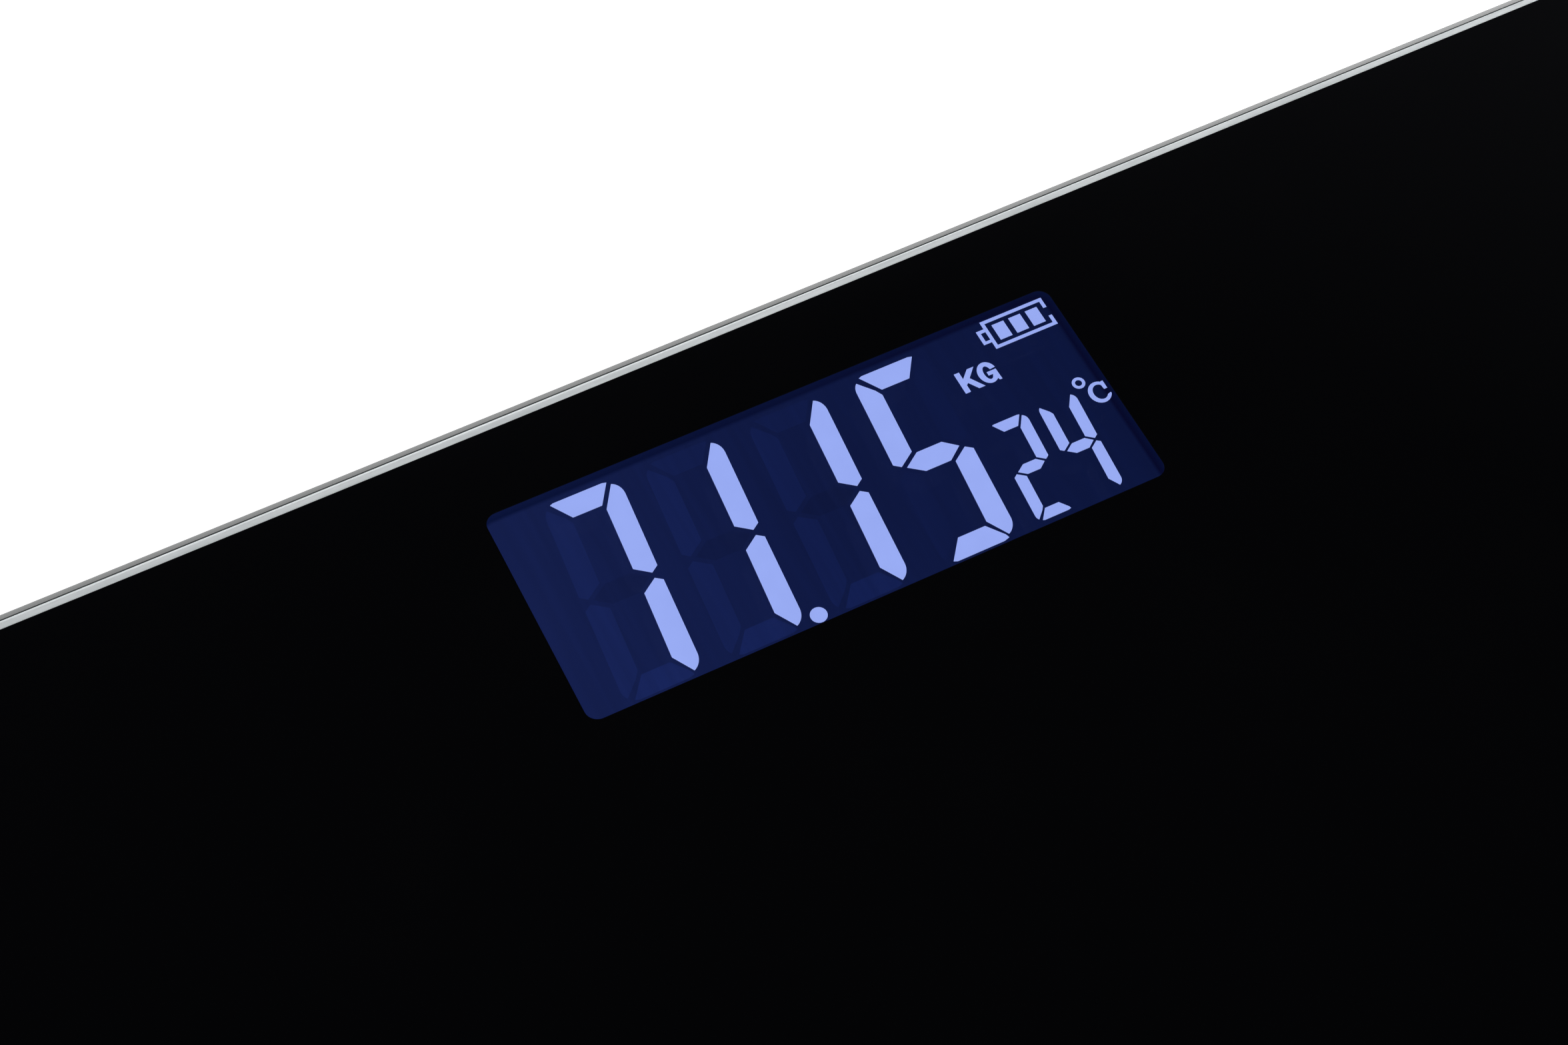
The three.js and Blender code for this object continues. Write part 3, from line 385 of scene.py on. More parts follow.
def honed_arris():
    """The narrow bevel, finer than the sides: dark from the print, it mirrors what is past the edge."""
    nodes = Nodes("honed_arris")
    streaks = nodes.noise(0.4, 4, ALONG_EDGE)
    rough = nodes.spread(streaks, 0.14, 0.24, 0.3, 0.7)
    colour = nodes.tones(streaks, tint(20, 23, 23), tint(32, 36, 36))
    normal = nodes.bump(nodes.noise(0.3, 4), 0.004)
    shader = nodes.principled(Base_Color=colour, Roughness=rough, IOR=1.36, Normal=normal)
    return nodes.done(shader)


def black_ink():
    """Screen-printed ink against the glass; it has no gloss of its own there."""
    nodes = Nodes("black_ink")
    colour = nodes.tones(nodes.noise(9, 5), (0.0009, 0.0009, 0.0012, 1), (0.0013, 0.0013, 0.0017, 1))
    rough = nodes.spread(nodes.noise(0.6, 3), 0.5, 0.62)
    shader = nodes.principled(Base_Color=colour, Roughness=rough, Specular_IOR_Level=0.0)
    return nodes.done(shader)


# ---------- materials: casings and inner parts ----------

# The board's tracks are this far apart.
TRACK_SPACING = 4
# Where the bright band on each cell lies along X, and half its width.
CELL_BAND = {"x": 10.0, "half": 3.5}


def moulded_plastic(name, dark, light, grain=0.45, depth=0.012, rough=(0.48, 0.62)):
    """Injection-moulded plastic with a fine spark-eroded grain and slow changes of tone."""
    nodes = Nodes(name)
    fine = nodes.noise(grain, 4)
    shader = nodes.principled(Base_Color=nodes.tones(nodes.noise(14, 4), dark, light), IOR=1.5,
                              Roughness=nodes.spread(fine, *rough, 0.3, 0.7),
                              Normal=nodes.bump(fine, depth))
    return nodes.done(shader)


def soft_rubber(name, dark, light):
    """Matt elastomer with a dusty bloom in its pores."""
    nodes = Nodes(name)
    pores = nodes.noise(0.25, 5)
    bloom = nodes.noise(5, 4)
    mottle = nodes.maths("ADD", nodes.maths("MULTIPLY", bloom, 0.7), nodes.maths("MULTIPLY", pores, 0.3))
    colour = nodes.ramp(mottle, [(0.35, dark), (0.65, light)])
    shader = nodes.principled(Base_Color=colour, Roughness=nodes.spread(pores, 0.75, 0.92), IOR=1.45,
                              Sheen_Weight=0.15, Sheen_Roughness=0.5, Normal=nodes.bump(pores, 0.02))
    return nodes.done(shader)


def brushed_metal(name, dark, light, stretch=(14, 1, 1), rough=(0.24, 0.4)):
    """Metal with a fine drawn or rolled grain, and a little tarnish."""
    nodes = Nodes(name)
    grain = nodes.noise(0.3, 5, stretch)
    shader = nodes.principled(Base_Color=nodes.tones(nodes.noise(6, 5), dark, light), Metallic=1.0,
                              Roughness=nodes.spread(grain, *rough, 0.3, 0.7),
                              Normal=nodes.bump(grain, 0.006))
    return nodes.done(shader)


def circuit_board():
    """Green solder mask over copper tracks, which stand up a little and show lighter."""
    nodes = Nodes("board_laminate")
    bricks = {"Vector": nodes.place(), "Scale": 1 / (TRACK_SPACING * MM),
              "Mortar Size": 0.06, "Mortar Smooth": 0.3}
    tracks = nodes.node("ShaderNodeTexBrick", bricks, offset=0.37).outputs[1]
    weave = nodes.noise(0.5, 3)
    colour = nodes.blend(tracks, nodes.tones(weave, tint(18, 74, 40), tint(22, 84, 46)), tint(38, 112, 62))
    shader = nodes.principled(Base_Color=colour, Roughness=nodes.spread(weave, 0.3, 0.42), IOR=1.5,
                              Coat_Weight=0.3, Coat_Roughness=0.2, Normal=nodes.bump(tracks, 0.03))
    return nodes.done(shader)


def clear_sheet():
    """Thin clear glass or acrylic inside the display."""
    nodes = Nodes("clear_sheet")
    haze = nodes.spread(nodes.noise(3, 4), 0.02, 0.08, 0.4, 0.7)
    shader = nodes.principled(Base_Color=(0.93, 0.96, 0.98, 1), Roughness=haze, IOR=1.5,
                              Transmission_Weight=0.9)
    return nodes.done(shader)


def cell_label():
    """Printed film round a cell: a green body with a bright band near one end."""
    nodes = Nodes("cell_sleeve")
    along = nodes.parts(nodes.place())[0]
    flecks = nodes.noise(0.5, 4, (1, 6, 6))
    body = nodes.tones(flecks, tint(30, 92, 62), tint(40, 108, 72))
    band = nodes.tones(flecks, tint(186, 164, 96), tint(206, 184, 118))
    inside = nodes.maths("COMPARE", along, CELL_BAND["x"] * MM, CELL_BAND["half"] * MM)
    shader = nodes.principled(Base_Color=nodes.blend(inside, body, band), IOR=1.5,
                              Roughness=nodes.spread(flecks, 0.22, 0.34),
                              Metallic=nodes.spread(inside, 0.0, 0.6), Coat_Weight=0.4, Coat_Roughness=0.1)
    return nodes.done(shader)


# ---------- materials: display ----------

# How far the part of the display clear of the painted shadow of the print's edge reaches from its middle, and
# its rounding; then the soft edge of that painted shadow inside that reach, and the width of the painted
# shadow band outside it.
UNSHADED = {"left": -38.15, "right": 37.07, "near": -20.0, "far": 14.71, "corner": 1.7}
SHADOW_EDGE = {"soft": 0.5, "shadow_band": 0.95}
# The share of light that the glass over the display passes, and the light that it mirrors towards the eye.
GLASS_PASSES = 0.915
GLASS_ADDS = (0.0023, 0.0024, 0.0031)
# How much brighter the brightest patches of a lit segment are.
LIT_UNEVEN = 1.03


def behind_glass(red, green, blue):
    """The glow that shows as a screen colour once the glass has passed it and added its own reflections."""
    shown = tint(red, green, blue)
    return tuple(max(0.0, (value - added) / GLASS_PASSES) for value, added in zip(shown, GLASS_ADDS)) + (1,)


LIT_COLOUR = behind_glass(153, 171, 243)
# These glows are the display's own faint backlight plus painted reflection of the room's light on its face,
# less where the print's edge throws its painted shadow; their stops run from the window's left side to its
# right, away from the stronger lamp.
GROUND = [(0.0, behind_glass(21, 31, 75.5)),
          (0.42, behind_glass(16.5, 25.5, 66)),
          (1.0, behind_glass(13, 22, 60))]
# The next two are the glow inside the painted shadow of the print's edge, at its inner side and at its outer
# side.
SHADOW_INNER = [(0.0, behind_glass(10, 19, 55.5)),
                (1.0, behind_glass(4.7, 10, 40.5))]
SHADOW_OUTER = [(0.0, behind_glass(13.5, 22.5, 62)),
                (0.42, behind_glass(10, 18, 54)),
                (1.0, behind_glass(8, 16, 50))]


def window_place(nodes):
    """The point in the window's own axes, in metres from its centre."""
    inputs = {"Vector": nodes.place(), "Location": DISPLAY * MM, "Rotation": (0, 0, DISPLAY_TURN)}
    return nodes.node("ShaderNodeMapping", inputs, vector_type="TEXTURE").outputs[0]


def window_share(nodes):
    """0 at the window's left side and 1 at its right."""
    half = WINDOW["width"] / 2 * MM
    return nodes.spread(nodes.parts(window_place(nodes))[0], 0, 1, -half, half)


def ground_colour(nodes):
    """The display's dark blue, partly its own glow and partly painted reflection of the room's light, with the
    faint streaks of its light guide.
    """
    streaks = nodes.spread(nodes.noise(0.9, 4, (1, 25, 25)), 0.93, 1.07, 0.3, 0.7)
    return nodes.blend(1.0, nodes.ramp(window_share(nodes), GROUND), streaks, "MULTIPLY")


def past_unshaded(nodes):
    """How far a point of the display lies past the part clear of the painted shadow of the print's edge, in
    metres, and less than zero inside that part.
    """
    x, y, _ = nodes.parts(window_place(nodes))
    over = []
    for value, low, high in ((x, UNSHADED["left"], UNSHADED["right"]), (y, UNSHADED["near"], UNSHADED["far"])):
        off = nodes.maths("ABSOLUTE", nodes.maths("SUBTRACT", value, (low + high) / 2 * MM))
        past = nodes.maths("SUBTRACT", off, ((high - low) / 2 - UNSHADED["corner"]) * MM)
        over.append(nodes.maths("POWER", nodes.maths("MAXIMUM", past, 0.0), 2.0))
    reach = nodes.maths("SQRT", nodes.maths("ADD", *over))
    return nodes.maths("SUBTRACT", reach, UNSHADED["corner"] * MM)


def display_ground():
    """The unlit ground, with a painted shadow of the print's edge along its right and far sides."""
    nodes = Nodes("display_ground")
    past, across = past_unshaded(nodes), window_share(nodes)
    shadow_band = nodes.blend(nodes.spread(past, 0, 1, 0, SHADOW_EDGE["shadow_band"] * MM),
                         nodes.ramp(across, SHADOW_INNER), nodes.ramp(across, SHADOW_OUTER))
    share = nodes.spread(past, 0, 1, -SHADOW_EDGE["soft"] * MM, 0)
    return glowing(nodes, nodes.blend(share, ground_colour(nodes), shadow_band), 1.0)


def glowing(nodes, colour, strength):
    """A film that gives light and has no gloss of its own behind the glass."""
    rough = nodes.spread(nodes.noise(0.8, 3), 0.28, 0.4)
    shader = nodes.principled(Base_Color=(0.0005, 0.0006, 0.001, 1), Roughness=rough,
                              Specular_IOR_Level=0.0, Emission_Color=colour, Emission_Strength=strength)
    return nodes.done(shader)


def segment_lit():
    """The pale blue of a lit segment, a little uneven."""
    nodes = Nodes("segment_lit")
    even = nodes.spread(nodes.noise(3.0, 3), 0.0, 1.0, 0.35, 0.65)
    bright = tuple(min(1.0, value * LIT_UNEVEN) for value in LIT_COLOUR[:3]) + (1,)
    return glowing(nodes, nodes.ramp(even, [(0.0, LIT_COLOUR), (1.0, bright)]), 1.0)


def segment_idle(name, strength):
    """The ground's blue, its own glow with its painted reflection, made stronger or weaker for a segment that
    isn't lit.
    """
    nodes = Nodes(name)
    return glowing(nodes, ground_colour(nodes), strength)


# ---------- platform ----------

# The platform glass's materials, by their place in its list.
POLISHED, GROUND_SIDE, BEVEL = range(3)
# A face is flat when its normal's height, up or down, is past the first of these, and a bevel when it is past
# the second.
FLAT, SLOPED = 0.9999, 0.1
# How far in over the flat faces the profile starts and ends, so that both arrises' corners are rounded.
RUN_IN = 1
# How far the ink reaches into the glass, which leaves no gap to see through.
INK_OVERLAP = 0.01


def edge_profile():
    """The ground edge from the underside up, as (inset, level): two arrises with softened corners."""
    low, high = GLASS_LOW.z, GLASS_HIGH.z
    crisp, soft = 0.08, 0.14
    corners = [(BOTTOM_ARRIS + RUN_IN, low),
               (BOTTOM_ARRIS, low, crisp),
               (0, low + BOTTOM_ARRIS, crisp),
               (0, high - TOP_ARRIS["depth"], crisp),
               (TOP_ARRIS["width"], high, soft),
               (TOP_ARRIS["width"] + RUN_IN, high)]
    return eased(corners, 6)[1:-1]


def glass_platform():
    """The tempered sheet: polished faces, ground sides and a finer bevel round the top."""
    rings = []
    for inset, level in edge_profile():
        side = PLATFORM - 2 * inset
        outline = rounded_outline(side, side, PLATFORM_CORNER - inset)
        rings.append([(x, y, level) for x, y in outline])
    vertices, faces = stacked(rings)
    materials = [polished_glass(), ground_glass(), honed_arris()]
    made = piece("platform_glass", vertices, faces, materials,
                 replaces=["glass_platform"])
    for face in made.data.polygons:
        if abs(face.normal.z) > FLAT:
            face.material_index = POLISHED
        elif face.normal.z > SLOPED:
            face.material_index = BEVEL
        else:
            face.material_index = GROUND_SIDE


def platform_print():
    """Ink on the underside, with the display's window left clear."""
    low, high = PRINT_LOW.z, GLASS_LOW.z + INK_OVERLAP
    side = PLATFORM - 2 * BOTTOM_ARRIS
    outer = rounded_outline(side, side, PLATFORM_CORNER - BOTTOM_ARRIS)
    window = rounded_outline(WINDOW["width"], WINDOW["height"], WINDOW["corner"])
    turn = Matrix.Rotation(DISPLAY_TURN, 2)
    inner = [(turn @ Vector(point) + DISPLAY.xy)[:] for point in window]
    count = len(outer)
    vertices = [(x, y, z) for z in (low, high) for outline in (outer, inner) for x, y in outline]
    faces = []
    low_out, low_in, high_out, high_in = (0, count, 2 * count, 3 * count)
    for i in range(count):
        j = (i + 1) % count
        faces.append((low_out + i, low_in + i, low_in + j, low_out + j))
        faces.append((high_out + i, high_out + j, high_in + j, high_in + i))
        faces.append((low_out + i, low_out + j, high_out + j, high_out + i))
        faces.append((low_in + i, high_in + i, high_in + j, low_in + j))
    piece("platform_print", vertices, faces, black_ink(), replaces=["backing_print"])


# ---------- underside ----------

FEET = ("front_left", "front_right", "back_left", "back_right")
# A foot's housing: how far below its glued face the collar ends and the flank starts, the mouth's radius,
# the lip's height, the hollow's radius and the roof's thickness.
HOUSING = {"collar": 4.2, "flank": 4.7, "mouth": 21.6, "lip": 1.5, "hollow": 27, "roof": 2}
# The opening for a foot's lead: how far out it starts and ends, how far it is off the middle, half its
# width, and its depth below the lead's top.
LEAD_OPENING = {"reach": (15, 32), "off": 6.5, "half": 2.4, "depth": 3}
# A foot's cap: the radius and depth of the pad's recess, the wall's radius, the heights of the flange's faces,
# and the radius of the post to the load cell.
CAP = {"recess": 18.7, "depth": 1.3, "wall": 21, "flange_low": 5.6, "flange_high": 7.0, "post": 7}
# The pad's ring grooves: their radii, half their width at the mouth and at the floor, and their depth.
GROOVES = {"radii": (4.5, 9.0, 13.5), "mouth": 0.7, "floor": 0.35, "depth": 0.6}
# A cover screw: the radius of its core and thread, the turns' pitch and width, and the head's height.
SCREW = {"core": 0.85, "thread": 1.1, "pitch": 0.6, "turn": 0.5, "head": 0.7}
# The thread starts and ends this far from the head's face and from the point.
THREAD_START, THREAD_END = 1.2, 1.5
# The cross recess in its head: half its reach and half its width, and its depth.
CROSS = {"reach": 1.45, "width": 0.32, "depth": 0.55}
# The unit button's skirt, and the height of the flange that keeps it in the cover.
KEY = {"skirt": 4, "flange": 5.75}
# How thick a cell's printed sleeve is.
SLEEVE = 0.12

# The third number of a profile's point is the rounding of that corner.


def foot_place(foot):
    """A foot's middle on the floor, in millimetres."""
    return node_middle(f"foot_housing_{foot}")


def foot_housing(foot, material):
    """A round cup glued under the glass, with a rolled lip round the moving cap."""
    node = f"foot_housing_{foot}"
    low, high = node_box(node)
    radius, bottom, top = (high.y - low.y) / 2, low.z, high.z
    mouth, lip_top = HOUSING["mouth"], bottom + HOUSING["lip"]
    hollow, roof = HOUSING["hollow"], top - HOUSING["roof"]
    profile = [(0, top), (radius - 0.2, top, 0.3), (radius, top - 0.6, 0.4)]
    profile += [(radius, top - HOUSING["collar"], 0.3), (radius - 0.45, top - HOUSING["flank"], 0.3)]
    profile += [(radius - 0.8, bottom + 1.2, 1.2), (radius - 2.2, bottom, 0.9)]
    profile += [(mouth + 1, bottom, 0.5), (mouth, bottom + 0.7, 0.4), (mouth, lip_top, 0.2)]
    profile += [(hollow, lip_top, 0.3), (hollow, roof, 0.5), (0, roof)]
    vertices, faces = turned(eased(profile), FOOT_SIDES, foot_place(foot))
    made = piece(f"foot_cup_{foot}", vertices, faces, material, replaces=[node])
    lead_opening(made, foot, top)


def lead_opening(made, foot, top):
    """Lets the load cell's lead out of its housing, towards the middle of the platform."""
    place = foot_place(foot)
    inward = -1 if place.x > 0 else 1
    along = sorted(place.x + inward * reach for reach in LEAD_OPENING["reach"])
    middle, half = place.y - LEAD_OPENING["off"], LEAD_OPENING["half"]
    _, lead_high = node_box(f"load_cell_lead_{foot}")
    height = (lead_high.z - LEAD_OPENING["depth"], top + 1)
    carve(made, *boxes((along, (middle - half, middle + half), height)))
    round_off(made.data)


def foot_cap(foot, material):
    """The shoe that moves in the housing: a recess for the pad, a flange and a post to the load cell."""
    node = f"foot_cap_{foot}"
    low, high = node_box(node)
    bottom, top, flange = low.z, high.z, (high.x - low.x) / 2
    recess, ceiling = CAP["recess"], bottom + CAP["depth"]
    flange_low, flange_high = CAP["flange_low"], CAP["flange_high"]
    profile = [(0, ceiling), (recess, ceiling, 0.2), (recess, bottom, 0.3)]
    profile += [(CAP["wall"] - 0.7, bottom, 0.5), (CAP["wall"] - 0.2, bottom + 0.9, 0.5)]
    profile += [(CAP["wall"], flange_low, 0.3), (flange, flange_low, 0.2), (flange, flange_high, 0.4)]
    profile += [(CAP["post"], flange_high, 0.6), (CAP["post"] - 1, top, 0.5), (0, top)]
    vertices, faces = turned(eased(profile), FOOT_SIDES, foot_place(foot))
    piece(f"foot_shoe_{foot}", vertices, faces, material, body=f"foot_{foot}",
          replaces=[node])


def foot_pad(foot, material):
    """A rubber disc with ring grooves and a shallow dish in the middle."""
    node = f"foot_pad_{foot}"
    low, high = node_box(node)
    radius, top = (high.x - low.x) / 2, high.z
    mouth, floor, depth = GROOVES["mouth"], GROOVES["floor"], GROOVES["depth"]
    profile = [(0, 0.35), (2.0, 0.3, 0.6), (2.8, 0, 0.4)]
    for groove in GROOVES["radii"]:
        for offset, level in ((-mouth, 0), (-floor, depth), (floor, depth), (mouth, 0)):
            profile.append((groove + offset, level, 0.25))
    profile += [(radius - 1.0, 0, 0.5), (radius, 0.9, 0.5), (radius, top, 0.15), (0, top)]
    vertices, faces = turned(eased(profile), FOOT_SIDES, foot_place(foot))
    piece(f"foot_rubber_{foot}", vertices, faces, material, body=f"foot_{foot}",
          replaces=[node])


def screw_profile(head, bottom, tip):
    """A pan head, a threaded core and a point, from the head up."""
    core, thread, seat = SCREW["core"], SCREW["thread"], bottom + SCREW["head"]
    profile = [(0, bottom), (head - 0.9, bottom, 0.6), (head, bottom + 0.45, 0.4), (head, seat, 0.1),
               (thread, seat, 0.1)]
    level = bottom + THREAD_START
    while level < tip - THREAD_END:
        profile += [(core, level), (thread, level + SCREW["turn"] / 2), (core, level + SCREW["turn"])]
        level += SCREW["pitch"]
    return eased(profile + [(core, tip - 1.2), (0.2, tip), (0, tip)])


def cover_screw(number, material):
    """A pan-head screw with a cross recess, pointing up into its boss."""
    node = f"cover_screw_{number}"
    low, high = node_box(node)
    place = node_middle(node)
    profile = screw_profile((high.x - low.x) / 2, low.z, high.z)
    vertices, faces = turned(profile, SCREW_SIDES, place)
    made = piece(f"screw_{number}", vertices, faces, material, replaces=[node])
    reach, width = CROSS["reach"], CROSS["width"]
    for half_x, half_y in ((reach, width), (width, reach)):
        across, along = (place.x - half_x, place.x + half_x), (place.y - half_y, place.y + half_y)
        carve(made, *boxes((across, along, (low.z - 1, low.z + CROSS["depth"]))))
    round_off(made.data)


def unit_button(material):
    """A round rubber key with a dished face, and a flange that keeps it in the cover."""
    low, high = node_box("unit_button")
    bottom, top, flange = low.z, high.z, (high.x - low.x) / 2
    profile = [(0, bottom + 0.5), (1.6, bottom + 0.42, 1.2), (2.9, bottom + 0.05, 0.4), (3.4, bottom, 0.3)]
    profile += [(KEY["skirt"], bottom + 0.4, 0.4), (KEY["skirt"], KEY["flange"], 0.1)]
    profile += [(flange, KEY["flange"], 0.1), (flange, top, 0.2), (0, top)]
    vertices, faces = turned(eased(profile, 6), BUTTON_SIDES, node_middle("unit_button"))
    piece("unit_key", vertices, faces, material, body="unit_button",
          replaces=["unit_button"])


def cell_sleeve(rings, place):
    """A thin closed sleeve along X about place, through rings that are each a radius and an x."""
    angles = [2 * math.pi * i / CELL_SIDES for i in range(CELL_SIDES)]
    points = [[Vector((x, radius * math.cos(angle), radius * math.sin(angle))) + place for angle in angles]
              for radius, x in rings]
    vertices, faces = stacked(points, close=False)
    last = (len(points) - 1) * CELL_SIDES
    faces += [(last + i, last + (i + 1) % CELL_SIDES, (i + 1) % CELL_SIDES, i) for i in range(CELL_SIDES)]
    return vertices, faces


def battery_cell(side, way, label, steel):
    """A steel can in a printed sleeve that leaves both ends bare; its raised end faces way along X."""
    node = f"battery_cell_{side}"
    low, high = node_box(node)
    place = Vector((0, (low.y + high.y) / 2, (low.z + high.z) / 2))
    outer = (high.z - low.z) / 2
    radius = outer - SLEEVE
    start, end = (low.x, high.x) if way > 0 else (high.x, low.x)
    can = [(0, start), (3.2, start, 0.2), (3.4, start + way * 0.3, 0.2), (radius, start + way * 0.3, 0.8)]
    can += [(radius, end - way * 0.8, 0.7), (2.6, end - way * 1.0, 0.2), (1.9, end - way * 0.8, 0.3)]
    can += [(1.8, end, 0.4), (0, end)]
    vertices, faces = turned(eased(can), CELL_SIDES, place, "X")
    piece(f"cell_{side}_can", vertices, faces, steel)
    wrap = [(radius - 0.6, start + way * 0.45), (outer - 0.1, start + way * 0.5)]
    wrap += [(outer, start + way * 0.9), (outer, end - way * 1.5)]
    wrap += [(outer - 0.1, end - way * 1.15), (radius - 0.6, end - way * 1.05)]
    vertices, faces = cell_sleeve(wrap, place)
    piece(f"cell_{side}_sleeve", vertices, faces, label, replaces=[node])


def underside():
    """The feet, the cover's screws, the unit button, the casings and the battery cells."""
    dark = moulded_plastic("casing_plastic", tint(47, 49, 54), tint(54, 56, 61))
    rubber = soft_rubber("pad_rubber", tint(84, 86, 90), tint(98, 100, 104))
    zinc = brushed_metal("zinc_plate", tint(176, 178, 182), tint(196, 198, 201), (1, 1, 4))
    for foot in FEET:
        foot_housing(foot, dark)
        foot_cap(foot, dark)
        foot_pad(foot, rubber)
    for number in (1, 2, 3, 4):
        cover_screw(number, zinc)
    unit_button(rubber)
    for node in ("display_housing", "housing_cover", "battery_door"):
        dress(node, dark)
        ease_edges(node, 0.15)
    label = cell_label()
    for side, way in (("near", -1), ("far", 1)):
        battery_cell(side, way, label, zinc)


# ---------- inner parts ----------


def inner_parts():
    """Finishes of the carried-over pieces inside the casings."""
    white = moulded_plastic("moulded_white", tint(206, 206, 201), tint(218, 218, 213), 0.6, 0.008,
                            (0.4, 0.52))
    plate = brushed_metal("stamped_steel", tint(168, 170, 172), tint(190, 191, 193), (1, 14, 1))
    nickel = brushed_metal("contact_nickel", tint(196, 198, 202), tint(214, 216, 219), (1, 1, 8),
                           (0.14, 0.26))
    black = moulded_plastic("component_black", tint(22, 22, 24), tint(30, 30, 32), 0.3, 0.008, (0.35, 0.5))
    grey = moulded_plastic("lead_sheath", tint(132, 134, 138), tint(144, 146, 150), 1.2, 0.01, (0.4, 0.5))
    red = moulded_plastic("wire_red", tint(166, 32, 26), tint(186, 42, 34), 0.8, 0.006, (0.34, 0.44))
    dark_wire = moulded_plastic("wire_black", tint(22, 22, 24), tint(32, 32, 34), 0.8, 0.006, (0.34, 0.44))
    seal = soft_rubber("seal_silicone", tint(214, 211, 202), tint(228, 225, 217))
    foam = soft_rubber("seal_foam", tint(24, 24, 26), tint(36, 36, 38))
    clear, board = clear_sheet(), circuit_board()
    film = moulded_plastic("rear_film", tint(20, 30, 70), tint(24, 36, 80), 2, 0.004, (0.2, 0.3))
    finishes = [
        ("white_plastic", white, ["backlight_frame", "reflector_sheet", "backlight_led_left",
                                  "backlight_led_right", "switch_plunger", "lead_duct_left",
                                  "lead_duct_right"]),
        ("steel", plate, [f"load_cell_{foot}" for foot in FEET]),
        ("spring_steel", nickel, ["negative_contact", "positive_contact", "bridge_contact"]),
        ("black_component", black, ["controller_chip", "supply_capacitor", "temperature_sensor",
                                    "tact_switch"]),
        ("lead_grey", grey, [f"load_cell_lead_{foot}" for foot in FEET]),
        ("red_wire", red, ["battery_lead_red"]),
        ("black_wire", dark_wire, ["battery_lead_black"]),
        ("silicone", seal, [f"gauge_seal_{foot}" for foot in FEET]),
        ("foam", foam, ["display_seal", "zebra_connector"]),
        ("clear_plastic", clear, ["front_lcd_glass", "rear_lcd_glass", "light_guide"]),
        ("circuit_board", board, ["main_board"]),
        ("display_blue", film, ["rear_polariser"]),
    ]
    for slot, material, nodes in finishes:
        for node in nodes:
            dress(node, material)
    for node in ("lead_duct_left", "lead_duct_right"):
        ease_edges(node, 0.3, 3)


# ---------- display segments ----------

# The figures lean by this share of their height, on a film of this thickness.
SLANT = 0.0774
FILM = 0.02
# What the display reads, and where its large and small figures stand, in millimetres from its middle.
READING = "7115"
DIGIT_CENTRES = (-26.77, -13.75, -0.12, 13.95)
DIGIT_MIDDLE = -0.15
TEMPERATURE = "24"
SMALL_CENTRES = (24.2, 30.88)
SMALL_MIDDLE = -6.5
SMALL_SCALE = 0.514
POINT = {"x": -8.07, "y": -13.25, "radius": 1.03}
# The idle segments' groups, and how strongly each shows against the ground; one numeral's are all faint.
IDLE_GROUPS = {"a": "top", "d": "low", "g": "middle"}
IDLE_GLOW = {"sides": 1.3, "top": 1.18, "low": 1.5, "middle": 0.87, "faint": 1.08}
FAINT_NUMERAL = "5"
# Points of a shape that are nearer than this, in metres, are one point.
WELD = 1e-7


def arc(centre, radii, start, end, steps=10):
    """Points along part of an ellipse, with its angles in degrees."""
    angles = [math.radians(start + (end - start) * i / steps) for i in range(steps + 1)]
    return [(centre[0] + radii[0] * math.cos(a), centre[1] + radii[1] * math.sin(a)) for a in angles]


def ring(x, y, radius):
    """Points round a circle."""
    return arc((x, y), (radius, radius), 0, 351, 39)


def mirrored(points):
    """Points turned over in y."""
    return [(x, -y) for x, y in points]


# A numeral's segments about its middle, by the usual letters, and which of them each numeral lights.
SEGMENTS = {
    "a": [(-3.8, 13.75), (-3.4, 13.9), (2.9, 13.9), (3.45, 13.75), (1.88, 11.1), (-1.85, 11.1)],
    "b": [(4.05, 0.35), (4.95, 1.0)] + arc((3.3, 11.4), (1.7, 2.05), 0, 70) + [(2.17, 10.4), (2.15, 1.75)],
    "c": [(4.05, -0.4), (4.95, -1.03)] + mirrored(arc((3.3, 11.4), (1.7, 2.0), 0, 70))
         + [(2.1, -10.65), (2.2, -1.73)],
    "d": [(-1.9, -11.1), (1.7, -11.1), (3.5, -13.2), (3.7, -13.7), (3.0, -13.9), (-3.2, -13.9),
          (-3.7, -13.7)],
    "f": arc((-3.9, 11.9), (1.0, 1.5), 120, 180, 6)
         + [(-4.95, 1.0), (-4.07, 0.35), (-2.1, 1.75), (-2.1, 10.4), (-2.65, 11.3)],
    "g": [(-3.53, 0.0), (-1.6, -1.4), (1.75, -1.4), (3.5, 0.0), (1.75, 1.4), (-1.6, 1.4)],
}
SEGMENTS["e"] = mirrored(SEGMENTS["f"])
NUMERALS = {"1": "bc", "2": "abged", "4": "fgbc", "5": "afgcd", "7": "abc"}

# The unit letters, the degree sign and the battery sign, in millimetres from the display's middle.
LETTER_K = [(21.72, 5.98), (22.42, 5.98), (22.42, 7.0), (22.7, 7.25), (23.57, 5.98), (24.4, 5.98),
            (23.2, 7.76), (24.42, 9.05), (23.5, 9.05), (22.42, 7.97), (22.42, 9.05), (21.72, 9.05)]
LETTER_G = (arc((25.55, 7.53), (1.24, 1.56), 14, 308, 30)
            + [(26.42, 6.0), (26.75, 6.0), (26.7, 7.62), (25.46, 7.62), (25.46, 7.09), (26.06, 7.07)]
            + arc((25.56, 7.5), (0.5, 0.99), -35, -340, 24))
LETTER_C = (arc((36.3, -0.9), (1.4, 1.54), 55, 332, 30)
            + [(37.5, -1.45)]
            + arc((36.38, -0.88), (0.87, 1.08), -40, -310, 24)
            + [(37.0, -0.73), (37.43, -0.73), (37.43, 0.42), (37.15, 0.42)])
DEGREE = {"x": 34.65, "y": 1.36, "outer": 0.82, "inner": 0.43}
